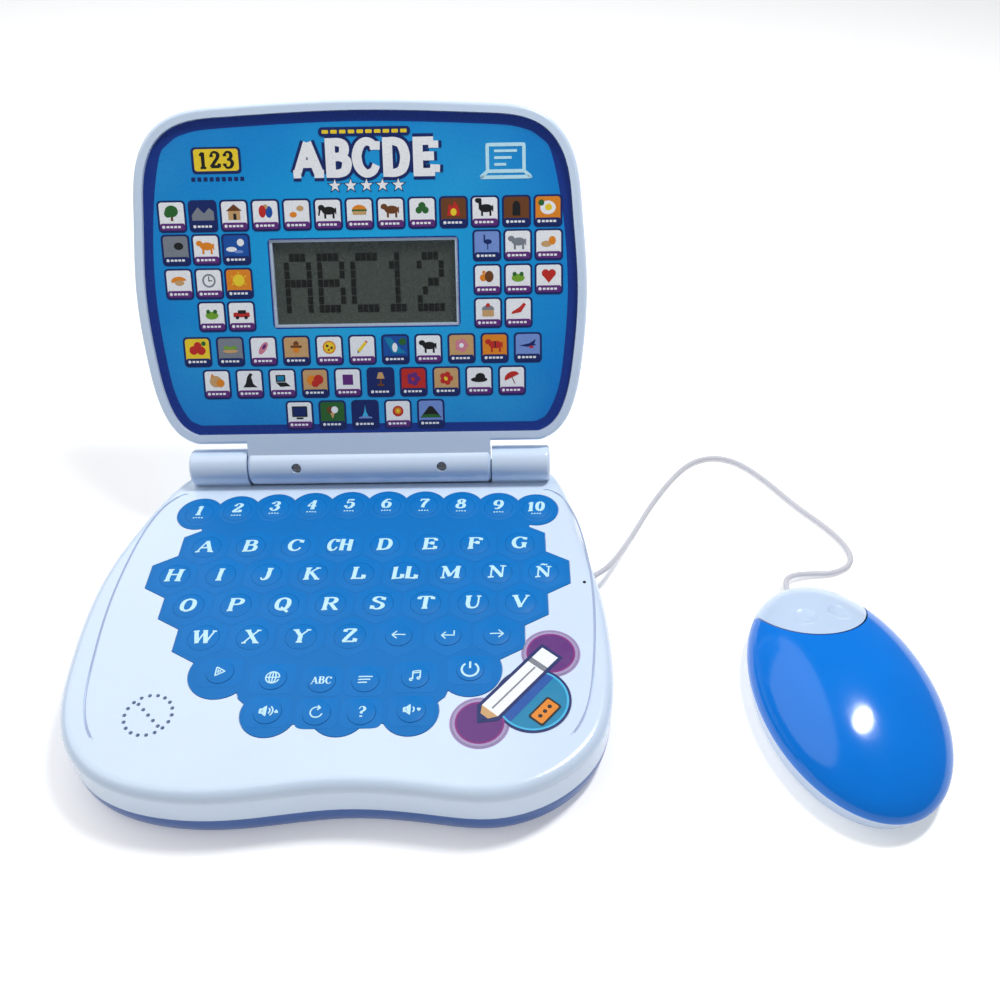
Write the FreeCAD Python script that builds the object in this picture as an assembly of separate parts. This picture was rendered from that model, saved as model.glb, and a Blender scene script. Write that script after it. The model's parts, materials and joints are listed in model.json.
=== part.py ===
import FreeCAD, Part
import math
import os

V = FreeCAD.Vector
os.makedirs("parts", exist_ok=True)

# ---------------------------------------------------------------- driving dimensions, millimetres
# Frame: Z = 0 is the table, X = 0 the keyboard's and the lid's centre line, +Y the hinge side.
DECK = 26.0          # top of the keyboard deck
PARTING = 10.5       # where the white upper shell meets the blue lower shell
WALL = 2.2           # moulded wall
DECK_UNDER = DECK - WALL
FLOOR = 2.0          # bottom plate of the lower shell

KEY_PITCH = 20.0     # flat to flat of a hexagon cell
ROW_STEP = KEY_PITCH * math.sin(math.radians(60))
HEX_R = KEY_PITCH / 2 / math.cos(math.radians(30))
ROW_TOP = 34.0       # Y of the first letter row
KEY_R = 6.4          # letter and digit keys
FUNCTION_KEY_R = 5.4
KEY_GAP = 0.35       # between a key and its hole
KEY_PROUD = 1.1      # key top above the deck
KEY_TRAVEL = 0.5
FILM = 0.6           # keyboard overlay
FILM_FLOOR = DECK - 0.5

HINGE_Y = 81.5
HINGE_Z = 32.6
BARREL_R = 8.6
BARREL_GAP = 0.5
BLOCK_HALF = 57.0    # half length of the lid's hinge block
KNUCKLE_IN = 57.6
KNUCKLE_OUT = 85.0
PIN_R = 2.0
PIN_CLEARANCE = 0.05

LID_LEAN = 28.0      # degrees back from upright when open
LID_FRONT = 5.6      # rim plane, in front of the hinge axis
LID_SPLIT = -1.0
LID_BACK = -8.5
LID_FOOT = 12.0      # lower edge of the lid, above the hinge axis
RIM = 4.3            # white rim round the printed panel
PANEL_FLOOR = 3.2
PANEL = 0.6

CELL_R = 7.25        # AA cell
CELL_LENGTH = 50.5

MOUSE_AT = V(199.6, -39.3, 0)
MOUSE_TURN = 8.5     # degrees, nose towards the laptop
MOUSE_NOSE = 58.2
MOUSE_TAIL = 55.6
MOUSE_HALF = 36.0
MOUSE_SPLIT = 10.0   # top shell above, base shell below
MOUSE_CROWN = 18.0   # dome above the split
MOUSE_FEET = 0.8

CABLE_D = 2.5
BASE_EXIT = V(103.6, 28.5, PARTING)
EXIT_TURN = 35.0     # degrees from +X towards the hinge side, where the cable leaves the base
CABLE_Z = CABLE_D / 2 + 0.1

# Half-dozen screws hold the base together; they stand on these posts.
BASE_POSTS = [(-87, 71), (86, 71), (-100, -25), (95, -25), (-45, -79), (45, -79)]
LID_POSTS = [(-82, 138), (82, 138), (-88, 40), (88, 40)]


# ---------------------------------------------------------------- small helpers
def save(node, shape):
    shape.exportStep("parts/" + node + ".step")
    print(node, len(shape.Solids), "solid(s)", round(shape.Volume / 1000, 2), "cm3",
          "valid" if shape.isValid() else "INVALID")


def ring(points):
    """A smooth closed wire through the points, at Z = 0."""
    curve = Part.BSplineCurve()
    curve.interpolate(Points=[V(x, y, 0) for x, y in points], PeriodicFlag=True)
    return Part.Wire(curve.toShape())


def inset(points, distance):
    """The closed outline moved inwards, each point along its own normal."""
    moved = []
    count = len(points)
    for i, (x, y) in enumerate(points):
        before = points[i - 1]
        after = points[(i + 1) % count]
        run_x = after[0] - before[0]
        run_y = after[1] - before[1]
        length = math.hypot(run_x, run_y)
        moved.append((x - run_y / length * distance, y + run_x / length * distance))
    return moved


def slab(wire, low, high):
    face = Part.Face(wire)
    face.translate(V(0, 0, low))
    return face.extrude(V(0, 0, high - low))


def box(x0, x1, y0, y1, z0, z1):
    return Part.makeBox(x1 - x0, y1 - y0, z1 - z0, V(x0, y0, z0))


def rod(radius, start, end):
    run = V(*end).sub(V(*start))
    return Part.makeCylinder(radius, run.Length, V(*start), run)


def rounded_plate(x0, x1, y0, y1, z0, z1, radius):
    plate = box(x0, x1, y0, y1, z0, z1)
    return plate.makeFillet(radius, [e for e in plate.Edges if upright(e)])


def upright(edge):
    box_of = edge.BoundBox
    return box_of.ZLength > 0.01 and box_of.XLength < 0.01 and box_of.YLength < 0.01


def edges_at(shape, height):
    return [e for e in shape.Edges
            if abs(e.BoundBox.ZMin - height) < 0.01 and abs(e.BoundBox.ZMax - height) < 0.01]


def join(shapes):
    return shapes[0].multiFuse(shapes[1:]).removeSplitter()


def group(shapes):
    return Part.makeCompound(shapes)


def screw(x, y, head_low, tip, head_r=2.8, shank_r=1.35, head_height=1.8):
    """A cross-head screw standing head down, with a cross cut half way into its head."""
    head = Part.makeCylinder(head_r, head_height, V(x, y, head_low))
    head = head.makeChamfer(head_height / 4, edges_at(head, head_low))
    shank = rod(shank_r, (x, y, head_low + head_height - 0.2), (x, y, tip))
    body = head.fuse(shank).removeSplitter()
    for turn in (0, 90):
        slot = box(-1.6, 1.6, -0.35, 0.35, head_low - 0.1, head_low + head_height / 2)
        slot.rotate(V(0, 0, 0), V(0, 0, 1), turn)
        slot.translate(V(x, y, 0))
        body = body.cut(slot)
    return body


# ---------------------------------------------------------------- outlines
# Base, seen from above, anticlockwise from the rear right corner.
BASE = [(90, 77), (83, 87), (45, 89), (0, 89), (-45, 89), (-85, 87), (-93, 77),
        (-103, 54), (-111, 26), (-113.7, -3), (-112.6, -30), (-106, -61),
        (-91, -79.5), (-65, -89.5), (-36, -90.6), (0, -86.8), (34, -89), (60, -91),
        (84, -82.5), (99.5, -66), (105.5, -44), (106.3, -20), (104.6, 4), (100.8, 26), (96, 52)]

# Step line that frames the working part of the deck, right half from the hinge forwards.
DECK_LINE_RIGHT = [(77, 72.5), (89, 66.5), (96, 52), (100, 28), (101.2, 2), (99, -32), (92, -61),
                   (76, -78)]

# Lid, in its own plane: x across, y up from the hinge axis; right half from foot to top.
LID_RIGHT = [(80, LID_FOOT), (89.5, 17.5), (96.5, 31), (100, 50), (102, 82), (99.6, 116),
             (93.8, 143.5), (86, 153), (76, 158), (58, 160.4)]


def mirrored(points):
    return [(-x, y) for x, y in reversed(points)]


def lid_points():
    foot = [(-40, LID_FOOT), (0, LID_FOOT), (40, LID_FOOT)]
    return foot + LID_RIGHT + [(0, 162.4)] + mirrored(LID_RIGHT)


def lid_wire(distance=0.0):
    """Lid outline with a straight foot; distance moves it inwards all round."""
    points = inset(lid_points(), distance)
    side = [V(x, y, 0) for x, y in points[3:]]
    curve = Part.BSplineCurve()
    curve.interpolate(Points=side)
    return Part.Wire([curve.toShape(), Part.LineSegment(side[-1], side[0]).toShape()])


# ---------------------------------------------------------------- key places
def digit_places():
    places = []
    for i in range(10):
        along = i - 4.5
        places.append((along * 17.3, 59.4 - 3.4 * (along / 4.5) ** 2))
    return places


def letter_places():
    rows = [(8, 0), (9, 1), (8, 2), (4, 3)]
    places = []
    for count, row in rows:
        first = -(count - 1) / 2 if row < 3 else -3.0
        for i in range(count):
            places.append(((first + i) * KEY_PITCH, ROW_TOP - row * ROW_STEP))
    return places


ROW_5_Y = ROW_TOP - 3 * ROW_STEP
FUNCTION_KEYS = {
    "key_arrow_left": (20, ROW_5_Y), "key_enter": (40, ROW_5_Y), "key_arrow_right": (60, ROW_5_Y),
    "key_demo": (-49.5, -35.6), "key_language": (-28, -38.8), "key_letters": (-8.6, -40.4),
    "key_words": (8.6, -40.4), "key_music": (28, -38.8), "key_power": (49.5, -35.6),
    "key_volume_up": (-27.5, -54.6), "key_repeat": (-8.6, -55.4),
    "key_answer": (8.6, -55.4), "key_volume_down": (27.5, -54.6),
}


def all_key_places():
    """Every key as (x, y, radius)."""
    large = [(x, y, KEY_R) for x, y in digit_places() + letter_places()]
    small = [(x, y, FUNCTION_KEY_R) for x, y in FUNCTION_KEYS.values()]
    return large + small


def hexagon(x, y, radius):
    corners = [V(x + radius * math.sin(math.radians(60 * k)), y + radius * math.cos(math.radians(60 * k)), 0)
               for k in range(6)]
    return Part.makePolygon(corners + corners[:1])


def circle(x, y, radius):
    return Part.Wire(Part.makeCircle(radius, V(x, y, 0)))


def polygon(corners):
    points = [V(x, y, 0) for x, y in corners]
    return Part.makePolygon(points + points[:1])


def keyboard_area(margin, low, high):
    """The overlay's stepped outline: hexagon cells, scalloped digits, rounded function keys."""
    side_keys = ["key_demo", "key_power", "key_language", "key_music"]
    cells = [hexagon(x, y, HEX_R + 1.6 + margin) for x, y in letter_places()]
    cells += [hexagon(x, ROW_5_Y, HEX_R + 1.6 + margin) for x in (20, 40, 60)]
    cells += [circle(x, y, 10.2 + margin) for x, y in digit_places()]
    cells += [circle(*FUNCTION_KEYS[name], 12.6 + margin) for name in side_keys]
    cells += [circle(x, -54.8, 11.0 + margin) for x in (-27, 0, 27)]
    cells.append(polygon([(-50, -20), (-40 - margin, -48 - margin), (-27, -60 - margin),
                          (27, -60 - margin), (40 + margin, -48 - margin), (50, -20)]))
    cells.append(polygon([(-70, 30), (70, 30)] + digit_places()[::-1]))
    return join([slab(cell, low, high) for cell in cells])


def key_holes(clearance, low, high):
    return group([Part.makeCylinder(r + clearance, high - low, V(x, y, low))
                  for x, y, r in all_key_places()])


# ---------------------------------------------------------------- base
def at_exit(shape):
    """From lying along +X with its tip at the origin to where the cable leaves the base."""
    shape.rotate(V(0, 0, 0), V(0, 0, 1), EXIT_TURN)
    shape.translate(BASE_EXIT)
    return shape


def cable_hole():
    return at_exit(rod(CABLE_D / 2 + 1.2, (-13.5, 0, 0), (6, 0, 0)))


def post_shape(x, y, low, high, radius=3.8):
    return Part.makeCylinder(radius, high - low, V(x, y, low))


SPEAKER_AT = (-73.2, -55.2)


def grille_holes():
    x, y = SPEAKER_AT
    holes = []
    for k in range(18):
        angle = math.radians(20 * k)
        holes.append((x + 9.1 * math.cos(angle), y + 9.1 * math.sin(angle)))
    for k in range(-2, 3):
        holes.append((x + 2.5 * k, y - 2.5 * k))
    return group([Part.makeCylinder(0.8, WALL + 4, V(hx, hy, DECK_UNDER - 2)) for hx, hy in holes])


def deck_line():
    """A shallow groove that frames the deck; it fades out before the front edge."""
    line = DECK_LINE_RIGHT + mirrored([(x + 3.5, y) for x, y in DECK_LINE_RIGHT])
    line = list(reversed(line))
    groove = slab(ring(line), DECK - 0.5, DECK + 1).cut(slab(ring(inset(line, 1.0)), DECK - 2, DECK + 2))
    return groove.common(box(-130, 130, -66, 70, 0, 40))


def base_upper_shell():
    outer = slab(ring(BASE), PARTING, DECK)
    outer = outer.makeFillet(4.6, edges_at(outer, DECK))
    shell = outer.cut(slab(ring(inset(BASE, WALL)), PARTING - 1, DECK_UNDER))
    inside = slab(ring(inset(BASE, WALL / 2)), PARTING + 4, DECK)
    trough_wall = rod(BARREL_R + BARREL_GAP + WALL, (-BLOCK_HALF - 2, HINGE_Y, HINGE_Z),
                      (BLOCK_HALF + 2, HINGE_Y, HINGE_Z)).common(inside)
    knuckles = []
    for side in (-1, 1):
        barrel = rod(BARREL_R, (side * KNUCKLE_IN, HINGE_Y, HINGE_Z), (side * KNUCKLE_OUT, HINGE_Y, HINGE_Z))
        outer_rim = [e for e in barrel.Edges if abs(abs(e.BoundBox.XMin) - KNUCKLE_OUT) < 0.01
                     and e.BoundBox.XLength < 0.01]
        barrel = barrel.makeFillet(2.0, outer_rim)
        low_x = min(side * KNUCKLE_IN, side * (KNUCKLE_OUT - 2.2))
        foot = box(low_x, low_x + KNUCKLE_OUT - 2.2 - KNUCKLE_IN, HINGE_Y - 6.5, HINGE_Y + 6.0,
                   DECK_UNDER + 0.5, HINGE_Z)
        knuckles += [barrel, foot]
    posts = [post_shape(x, y, PARTING + 0.1, DECK_UNDER + 0.5) for x, y in BASE_POSTS]
    speaker_ring = Part.makeCylinder(16.6, 4, V(*SPEAKER_AT, DECK_UNDER - 3.8))
    speaker_ring = speaker_ring.cut(Part.makeCylinder(15.1, 5, V(*SPEAKER_AT, DECK_UNDER - 4)))
    shell = join([shell, trough_wall, speaker_ring] + knuckles + posts)
    shell = shell.cut(rod(BARREL_R + BARREL_GAP, (-KNUCKLE_IN, HINGE_Y, HINGE_Z),
                          (KNUCKLE_IN, HINGE_Y, HINGE_Z)))
    for side in (-1, 1):
        shell = shell.cut(rod(PIN_R, (side * (KNUCKLE_IN - 2), HINGE_Y, HINGE_Z),
                              (side * (KNUCKLE_OUT - 4), HINGE_Y, HINGE_Z)))
    shell = shell.cut(keyboard_area(0.3, FILM_FLOOR, DECK + 2))
    shell = shell.cut(key_holes(KEY_GAP, DECK_UNDER - 1, DECK + 1))
    shell = shell.cut(group([Part.makeCylinder(1.2, 10, V(x, y, PARTING)) for x, y in BASE_POSTS]))
    return shell.cut(cable_hole()).cut(grille_holes()).cut(deck_line())


BAY = (-29.0, 29.0, 24.0, 72.0)      # battery bay, inside
BAY_TOP = 17.4
COVER_TAB = 83.7                     # the cover reaches this far back, to its screw


def base_lower_shell():
    bottom = inset(BASE, 2.2)
    middle = inset(BASE, 0.5)
    lower = []
    for outline, height in ((bottom, 0.0), (middle, 4.5), (inset(BASE, 0.1), PARTING)):
        wire = ring(outline)
        wire.translate(V(0, 0, height))
        lower.append(wire)
    outer = Part.makeLoft(lower, True, False)
    shell = outer.cut(slab(ring(inset(BASE, 4.4)), FLOOR, PARTING + 1))
    x0, x1, y0, y1 = BAY
    bay = box(x0 - 1.6, x1 + 1.6, y0 - 1.6, y1 + 1.6, 0.5, BAY_TOP + 1.2)
    boss = box(-8, 8, y1, COVER_TAB + 2, 0.5, 8)
    posts = [post_shape(x, y, 0.5, PARTING) for x, y in BASE_POSTS]
    board_rests = [post_shape(x, y, 1, 5.0, 2.5) for x, y in BOARD_HOLES]
    shell = join([shell, bay, boss] + posts + board_rests)
    shell = shell.cut(box(x0, x1, y0, y1, -1, BAY_TOP))
    shell = shell.cut(box(-6.3, 6.3, y1 - 1, COVER_TAB + 0.3, -1, FLOOR + 0.1))
    shell = shell.cut(rod(1.1, (0, COVER_TAB - 5, 0), (0, COVER_TAB - 5, 7)))
    for x, y in BASE_POSTS:
        shell = shell.cut(rod(3.3, (x, y, -1), (x, y, 6.0)))
        shell = shell.cut(rod(1.6, (x, y, 5), (x, y, PARTING + 1)))
    for x, y in BOARD_HOLES:
        shell = shell.cut(rod(0.9, (x, y, 2.5), (x, y, 6)))
    return shell.cut(cable_hole())


BOARD_HOLES = [(-50, -66), (50, -66), (-50, 8), (50, 8)]


def main_board():
    board = rounded_plate(-56, 56, -72, 14, 5.1, 6.7, 2)
    chips = [box(-10, 10, -38, -18, 6.7, 8.6), box(22, 34, -34, -26, 6.7, 8.2),
             box(-40, -28, -14, -4, 6.7, 9.0)]
    cans = [Part.makeCylinder(2.6, 6, V(x, -52, 6.7)) for x in (-30, -22, 14, 22)]
    board = join([board] + chips + cans)
    return board.cut(group([Part.makeCylinder(1.3, 3, V(x, y, 4.5)) for x, y in BOARD_HOLES]))


def board_screws():
    screws = []
    for x, y in BOARD_HOLES:
        upside_down = screw(0, 0, 0, 5.6, head_r=2.2, shank_r=0.85, head_height=1.4)
        upside_down.rotate(V(0, 0, 0), V(1, 0, 0), 180)
        upside_down.translate(V(x, y, 8.1))
        screws.append(upside_down)
    return group(screws)


KEY_BOARD_EDGE = [(-83, 63), (83, 63), (92, 40), (92, 2), (72, -22), (62, -46), (36, -63), (-36, -63),
                  (-52, -46), (-72, -22), (-92, 2), (-92, 40)]


def sheet_under_keys(low, high):
    return slab(polygon(KEY_BOARD_EDGE), low, high)


def key_board():
    return sheet_under_keys(19.2, 20.6)


def contact_sheet():
    """Rubber sheet with a small pip under every key."""
    sheet = sheet_under_keys(20.6, 21.5)
    pips = [Part.makeCone(3.4, 2.6, 0.5, V(x, y, 21.5)) for x, y, _ in all_key_places()]
    return sheet.multiFuse(pips)


def key(x, y, radius):
    """Domed key with a flange that keeps it under the deck."""
    flange_low = DECK_UNDER - 0.9
    flange = Part.makeCylinder(radius + 0.8, 0.8, V(x, y, flange_low))
    top = DECK + KEY_PROUD
    sphere_r = 30.0
    stem = Part.makeCylinder(radius, top - flange_low - 0.4, V(x, y, flange_low + 0.4))
    crown = Part.makeSphere(sphere_r, V(x, y, top - sphere_r))
    stem = stem.common(crown)
    return flange.fuse(stem).removeSplitter()


def keyboard_overlay():
    film = keyboard_area(0.0, FILM_FLOOR, FILM_FLOOR + FILM)
    return film.cut(key_holes(KEY_GAP, DECK - 2, DECK + 2))


def speaker():
    x, y = SPEAKER_AT
    cone_rim = Part.makeCylinder(14.8, 2.2, V(x, y, DECK_UNDER - 2.4))
    basket = Part.makeCone(9, 14.8, 4, V(x, y, DECK_UNDER - 6.4))
    magnet = Part.makeCylinder(8, 5.5, V(x, y, DECK_UNDER - 11.5))
    cone = Part.makeCone(4, 12, 2.0, V(x, y, DECK_UNDER - 2.2))
    return join([cone_rim, basket, magnet]).cut(cone)


def cell_centres():
    return [(33.0 + 15.0 * k, 9.9) for k in range(3)]


def battery_cells():
    cells = []
    for k, (y, z) in enumerate(cell_centres()):
        turn = 1 if k % 2 == 0 else -1
        start = -turn * CELL_LENGTH / 2
        body = rod(CELL_R, (start, y, z), (start + turn * (CELL_LENGTH - 1.2), y, z))
        tip = rod(2.6, (start + turn * (CELL_LENGTH - 1.4), y, z), (start + turn * CELL_LENGTH, y, z))
        cells.append(body.fuse(tip).removeSplitter())
    return group(cells)


def battery_contacts():
    """Flat plates at the + ends and a leaf with a spring ring at the - ends."""
    pieces = []
    for k, (y, z) in enumerate(cell_centres()):
        turn = 1 if k % 2 == 0 else -1
        plate_x = turn * (BAY[1] - 0.5)
        pieces.append(box(min(plate_x, plate_x + turn * 0.5), max(plate_x, plate_x + turn * 0.5),
                          y - 5, y + 5, z - 5, z + 5)
                      .fuse(rod(3, (plate_x, y, z), (turn * (CELL_LENGTH / 2 + 0.05), y, z))).removeSplitter())
        other_x = -plate_x
        leaf = box(min(other_x, other_x - turn * 0.5), max(other_x, other_x - turn * 0.5),
                   y - 5, y + 5, z - 5, z + 5)
        spring = Part.makeCone(5.4, 3.2, BAY[1] - 0.5 - CELL_LENGTH / 2 - 0.05, V(other_x, y, z), V(turn, 0, 0))
        bore = Part.makeCone(4.6, 2.4, BAY[1] - 0.5 - CELL_LENGTH / 2 + 0.2, V(other_x, y, z), V(turn, 0, 0))
        pieces.append(leaf.fuse(spring.cut(bore)).removeSplitter())
    return group(pieces)


def battery_cover():
    x0, x1, y0, y1 = BAY
    plate = rounded_plate(x0 + 0.3, x1 - 0.3, y0 + 0.3, y1 - 0.3, 0.3, FLOOR, 1.5)
    tab = rounded_plate(-6, 6, y1 - 3, COVER_TAB, 0.3, FLOOR, 1.5)
    grooves = [box(x0 + 6, x1 - 6, y - 0.5, y + 0.5, 0, 0.7) for y in (30, 33, 36, 39)]
    cover = plate.fuse(tab).removeSplitter().cut(group(grooves))
    cover = cover.cut(rod(2.7, (0, COVER_TAB - 5, -1), (0, COVER_TAB - 5, 1.3)))
    return cover.cut(rod(1.4, (0, COVER_TAB - 5, -1), (0, COVER_TAB - 5, 4)))


def battery_cover_screw():
    return screw(0, COVER_TAB - 5, 0.4, 6.5, head_r=2.4, shank_r=1.05, head_height=0.9)


def base_screws():
    return group([screw(x, y, 4.2, PARTING + 7, shank_r=1.2) for x, y in BASE_POSTS])


def hinge_pins():
    pins = []
    for side in (-1, 1):
        pins.append(rod(PIN_R, (side * 46, HINGE_Y, HINGE_Z), (side * (KNUCKLE_OUT - 4), HINGE_Y, HINGE_Z)))
    return group(pins)


# ---------------------------------------------------------------- lid, built lying in its own plane
def on_lid(shape):
    """From the lid's plane (x across, y up the lid, z out of its face) to where it stands open."""
    shape.rotate(V(0, 0, 0), V(1, 0, 0), 90 - LID_LEAN)
    shape.translate(V(0, HINGE_Y, HINGE_Z))
    return shape


LCD_X = 1.8          # the display sits a little right of centre
LCD_Y = 85.0
WINDOW_HALF_X = 42.0
WINDOW_HALF_Y = 19.2
BLOCK_SCREWS = [(-34.1, 0.6), (34.1, 0.6)]
BLOCK_HOLLOW_R = 6.2
BLOCK_HOLLOW_HALF = 28.0


def lid_neck(gap):
    return box(-BLOCK_HALF - gap, BLOCK_HALF + gap, -gap, 14 + gap, -6.5 - gap, LID_FRONT)


def lid_front_shell():
    outer = slab(lid_wire(), LID_SPLIT, LID_FRONT)
    outer = outer.makeFillet(1.6, edges_at(outer, LID_FRONT))
    shell = outer.cut(slab(lid_wire(RIM), PANEL_FLOOR, LID_FRONT + 1))
    shell = shell.cut(slab(lid_wire(WALL), LID_SPLIT - 1, 1.2))
    barrel = rod(BARREL_R, (-BLOCK_HALF, 0, 0), (BLOCK_HALF, 0, 0))
    ends = [e for e in barrel.Edges if abs(abs(e.BoundBox.XMin) - BLOCK_HALF) < 0.01
            and e.BoundBox.XLength < 0.01]
    barrel = barrel.makeChamfer(1.2, ends)
    posts = [post_shape(x, y, LID_SPLIT, 2.0, 3.4) for x, y in LID_POSTS]
    shell = join([shell, barrel, lid_neck(0)] + posts)
    for side in (-1, 1):
        shell = shell.cut(rod(PIN_R + PIN_CLEARANCE, (side * 45, 0, 0), (side * (BLOCK_HALF + 1), 0, 0)))
    for x, y in BLOCK_SCREWS:
        shell = shell.cut(rod(2.3, (x, y, 5.4), (x, y, 10)))
        shell = shell.cut(rod(1.0, (x, y, -5), (x, y, 6)))
    for x, y in LID_POSTS:
        shell = shell.cut(rod(1.1, (x, y, LID_SPLIT - 1), (x, y, 1.4)))
    shell = shell.cut(rod(BLOCK_HOLLOW_R, (-BLOCK_HOLLOW_HALF, 0, 0), (BLOCK_HOLLOW_HALF, 0, 0)))
    shell = shell.cut(box(-11, 11, 1.5, 16, -3.6, -1.8))
    return shell.cut(box(LCD_X - 41, LCD_X + 41, LCD_Y - 18.2, LCD_Y + 18.2, 0, LID_FRONT))


def lid_back_shell():
    outer = slab(lid_wire(), LID_BACK, LID_SPLIT)
    outer = outer.makeFillet(4.5, edges_at(outer, LID_BACK))
    shell = outer.cut(slab(lid_wire(WALL), LID_BACK + WALL, LID_SPLIT + 1))
    posts = [post_shape(x, y, LID_BACK + 1, LID_SPLIT, 3.4) for x, y in LID_POSTS]
    shell = join([shell] + posts)
    for x, y in LID_POSTS:
        shell = shell.cut(rod(2.9, (x, y, LID_BACK - 1), (x, y, LID_BACK + 4)))
        shell = shell.cut(rod(1.5, (x, y, LID_BACK), (x, y, LID_SPLIT + 1)))
    return shell.cut(lid_neck(0.3))


def lid_panel():
    film = slab(lid_wire(RIM + 0.2), PANEL_FLOOR, PANEL_FLOOR + PANEL)
    return film.cut(box(LCD_X - WINDOW_HALF_X - 0.2, LCD_X + WINDOW_HALF_X + 0.2,
                        LCD_Y - WINDOW_HALF_Y - 0.2, LCD_Y + WINDOW_HALF_Y + 0.2, 0, LID_FRONT))


def lcd_window():
    return rounded_plate(LCD_X - WINDOW_HALF_X, LCD_X + WINDOW_HALF_X, LCD_Y - WINDOW_HALF_Y,
                         LCD_Y + WINDOW_HALF_Y, PANEL_FLOOR, PANEL_FLOOR + PANEL + 0.3, 1.5)


def lcd_panel():
    return box(LCD_X - 43, LCD_X + 43, LCD_Y - 20, LCD_Y + 20, -1.5, 1.1)


def lcd_board():
    board = rounded_plate(LCD_X - 46, LCD_X + 46, LCD_Y - 23, LCD_Y + 23, -3.2, -1.6, 2)
    driver = Part.makeCylinder(7, 1.2, V(LCD_X, LCD_Y, -4.3))
    return board.fuse(driver).removeSplitter()


def lid_ribbon():
    """Flat cable from the display board down into the hinge block."""
    return box(-9, 9, 2.5, LCD_Y - 20, -3.5, -3.2).fuse(box(-9, 9, 2.5, 15, -3.3, -2.1)).removeSplitter()


def lid_screws():
    return group([screw(x, y, LID_BACK + 2.2, 1.0, shank_r=1.1, head_r=2.6) for x, y in LID_POSTS])


def block_screws():
    screws = []
    for x, y in BLOCK_SCREWS:
        facing_front = screw(0, 0, 0, 9.5, head_r=2.1, shank_r=1.0, head_height=1.4)
        facing_front.rotate(V(0, 0, 0), V(1, 0, 0), 180)
        facing_front.translate(V(x, y, 6.8))
        screws.append(facing_front)
    return group(screws)


# ---------------------------------------------------------------- mouse, built nose to +Y at the origin
def on_table(shape):
    shape.rotate(V(0, 0, 0), V(0, 0, 1), MOUSE_TURN)
    shape.translate(MOUSE_AT)
    return shape


def stretched(shape, x, y, z):
    matrix = FreeCAD.Matrix()
    matrix.scale(V(x, y, z))
    return shape.transformGeometry(matrix)


def egg(unit_shape, half_width, nose, tail, height, low):
    """A round unit solid stretched into an egg plan: one length to the nose, another to the tail."""
    front = unit_shape.common(box(-2, 2, 0, 2, -2, 2))
    back = unit_shape.common(box(-2, 2, -2, 0, -2, 2))
    whole = stretched(front, half_width, nose, height).fuse(stretched(back, half_width, tail, height))
    whole.translate(V(0, 0, low))
    return whole


def dome(skin):
    """The top of the mouse, moved in by skin."""
    half_ball = Part.makeSphere(1, V(0, 0, 0), V(0, 0, 1), 0, 90, 360)
    return egg(half_ball, MOUSE_HALF - skin, MOUSE_NOSE - skin, MOUSE_TAIL - skin,
               MOUSE_CROWN - skin, MOUSE_SPLIT)


def bowl(skin, low, high):
    """The tapering lower body of the mouse between two heights, moved in by skin."""
    return egg(Part.makeCone(0.94, 1.0, 1.0), MOUSE_HALF - skin, MOUSE_NOSE - skin,
               MOUSE_TAIL - skin, high - low, low)


CAP_Y = 42.5         # centre of the round line between the button cap and the top shell
CAP_R = 22.5
CAP_GAP = 0.6
CAP_LOW = MOUSE_SPLIT + 0.9
ROCKER_Z = 13.0
ROCKER_R = 1.6
SWITCHES = [(-11, 38), (11, 38)]
MOUSE_SCREW_Y = -36.0
GROMMET_Z = 5.2


def mouse_top_shell():
    shell = dome(0).cut(dome(WALL))
    shell = shell.cut(Part.makeCylinder(CAP_R + CAP_GAP, 40, V(0, CAP_Y, 0)))
    shell = shell.cut(box(-40, 40, CAP_Y, 80, 0, 40))
    post = post_shape(0, MOUSE_SCREW_Y, MOUSE_SPLIT, 26, 3.2).common(dome(WALL / 2))
    shell = shell.fuse(post).removeSplitter()
    return on_table(shell.cut(rod(1.1, (0, MOUSE_SCREW_Y, 0), (0, MOUSE_SCREW_Y, 17))))


def mouse_button_cap():
    """One rocking cap over both switches, with a finger dimple each side and its pivot below."""
    region = Part.makeCylinder(CAP_R, 40, V(0, CAP_Y, CAP_LOW))
    cap = dome(0).cut(dome(WALL)).common(region)
    for x in (-8.8, 8.8):
        cap = cap.cut(Part.makeSphere(13, V(x, 34.5, MOUSE_SPLIT + MOUSE_CROWN * 0.78 + 12.0)))
    web = box(-0.9, 0.9, 30.5, 45.5, ROCKER_Z, 30).common(dome(WALL / 2))
    pivot = rod(ROCKER_R, (0, 26.5, ROCKER_Z), (0, 49.5, ROCKER_Z))
    pegs = [rod(1.5, (x, y, 10.8), (x, y, 28)).common(dome(WALL / 2)) for x, y in SWITCHES]
    return on_table(join([cap, web, pivot] + pegs))


def mouse_base_shell():
    shell = bowl(0, MOUSE_FEET, MOUSE_SPLIT).cut(bowl(2.0, MOUSE_FEET + 1.8, MOUSE_SPLIT + 0.01))
    bearings = [box(-3, 3, y, y + 2.6, 2, 15.6) for y in (27.0, 46.6)]
    screw_post = post_shape(0, MOUSE_SCREW_Y, 2, MOUSE_SPLIT, 3.8)
    board_posts = [post_shape(x, y, 2, 4.0, 2.0) for x, y in ((-10, -18), (10, -18), (-11, 28), (11, 28))]
    shell = join([shell, screw_post] + bearings + board_posts)
    shell = shell.cut(rod(ROCKER_R + PIN_CLEARANCE, (0, 25, ROCKER_Z), (0, 51, ROCKER_Z)))
    shell = shell.cut(rod(3.0, (0, MOUSE_SCREW_Y, -1), (0, MOUSE_SCREW_Y, 5)))
    shell = shell.cut(rod(1.5, (0, MOUSE_SCREW_Y, 0), (0, MOUSE_SCREW_Y, 12)))
    return on_table(shell.cut(rod(2.3, (0, 50, GROMMET_Z), (0, 60, GROMMET_Z))))


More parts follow.
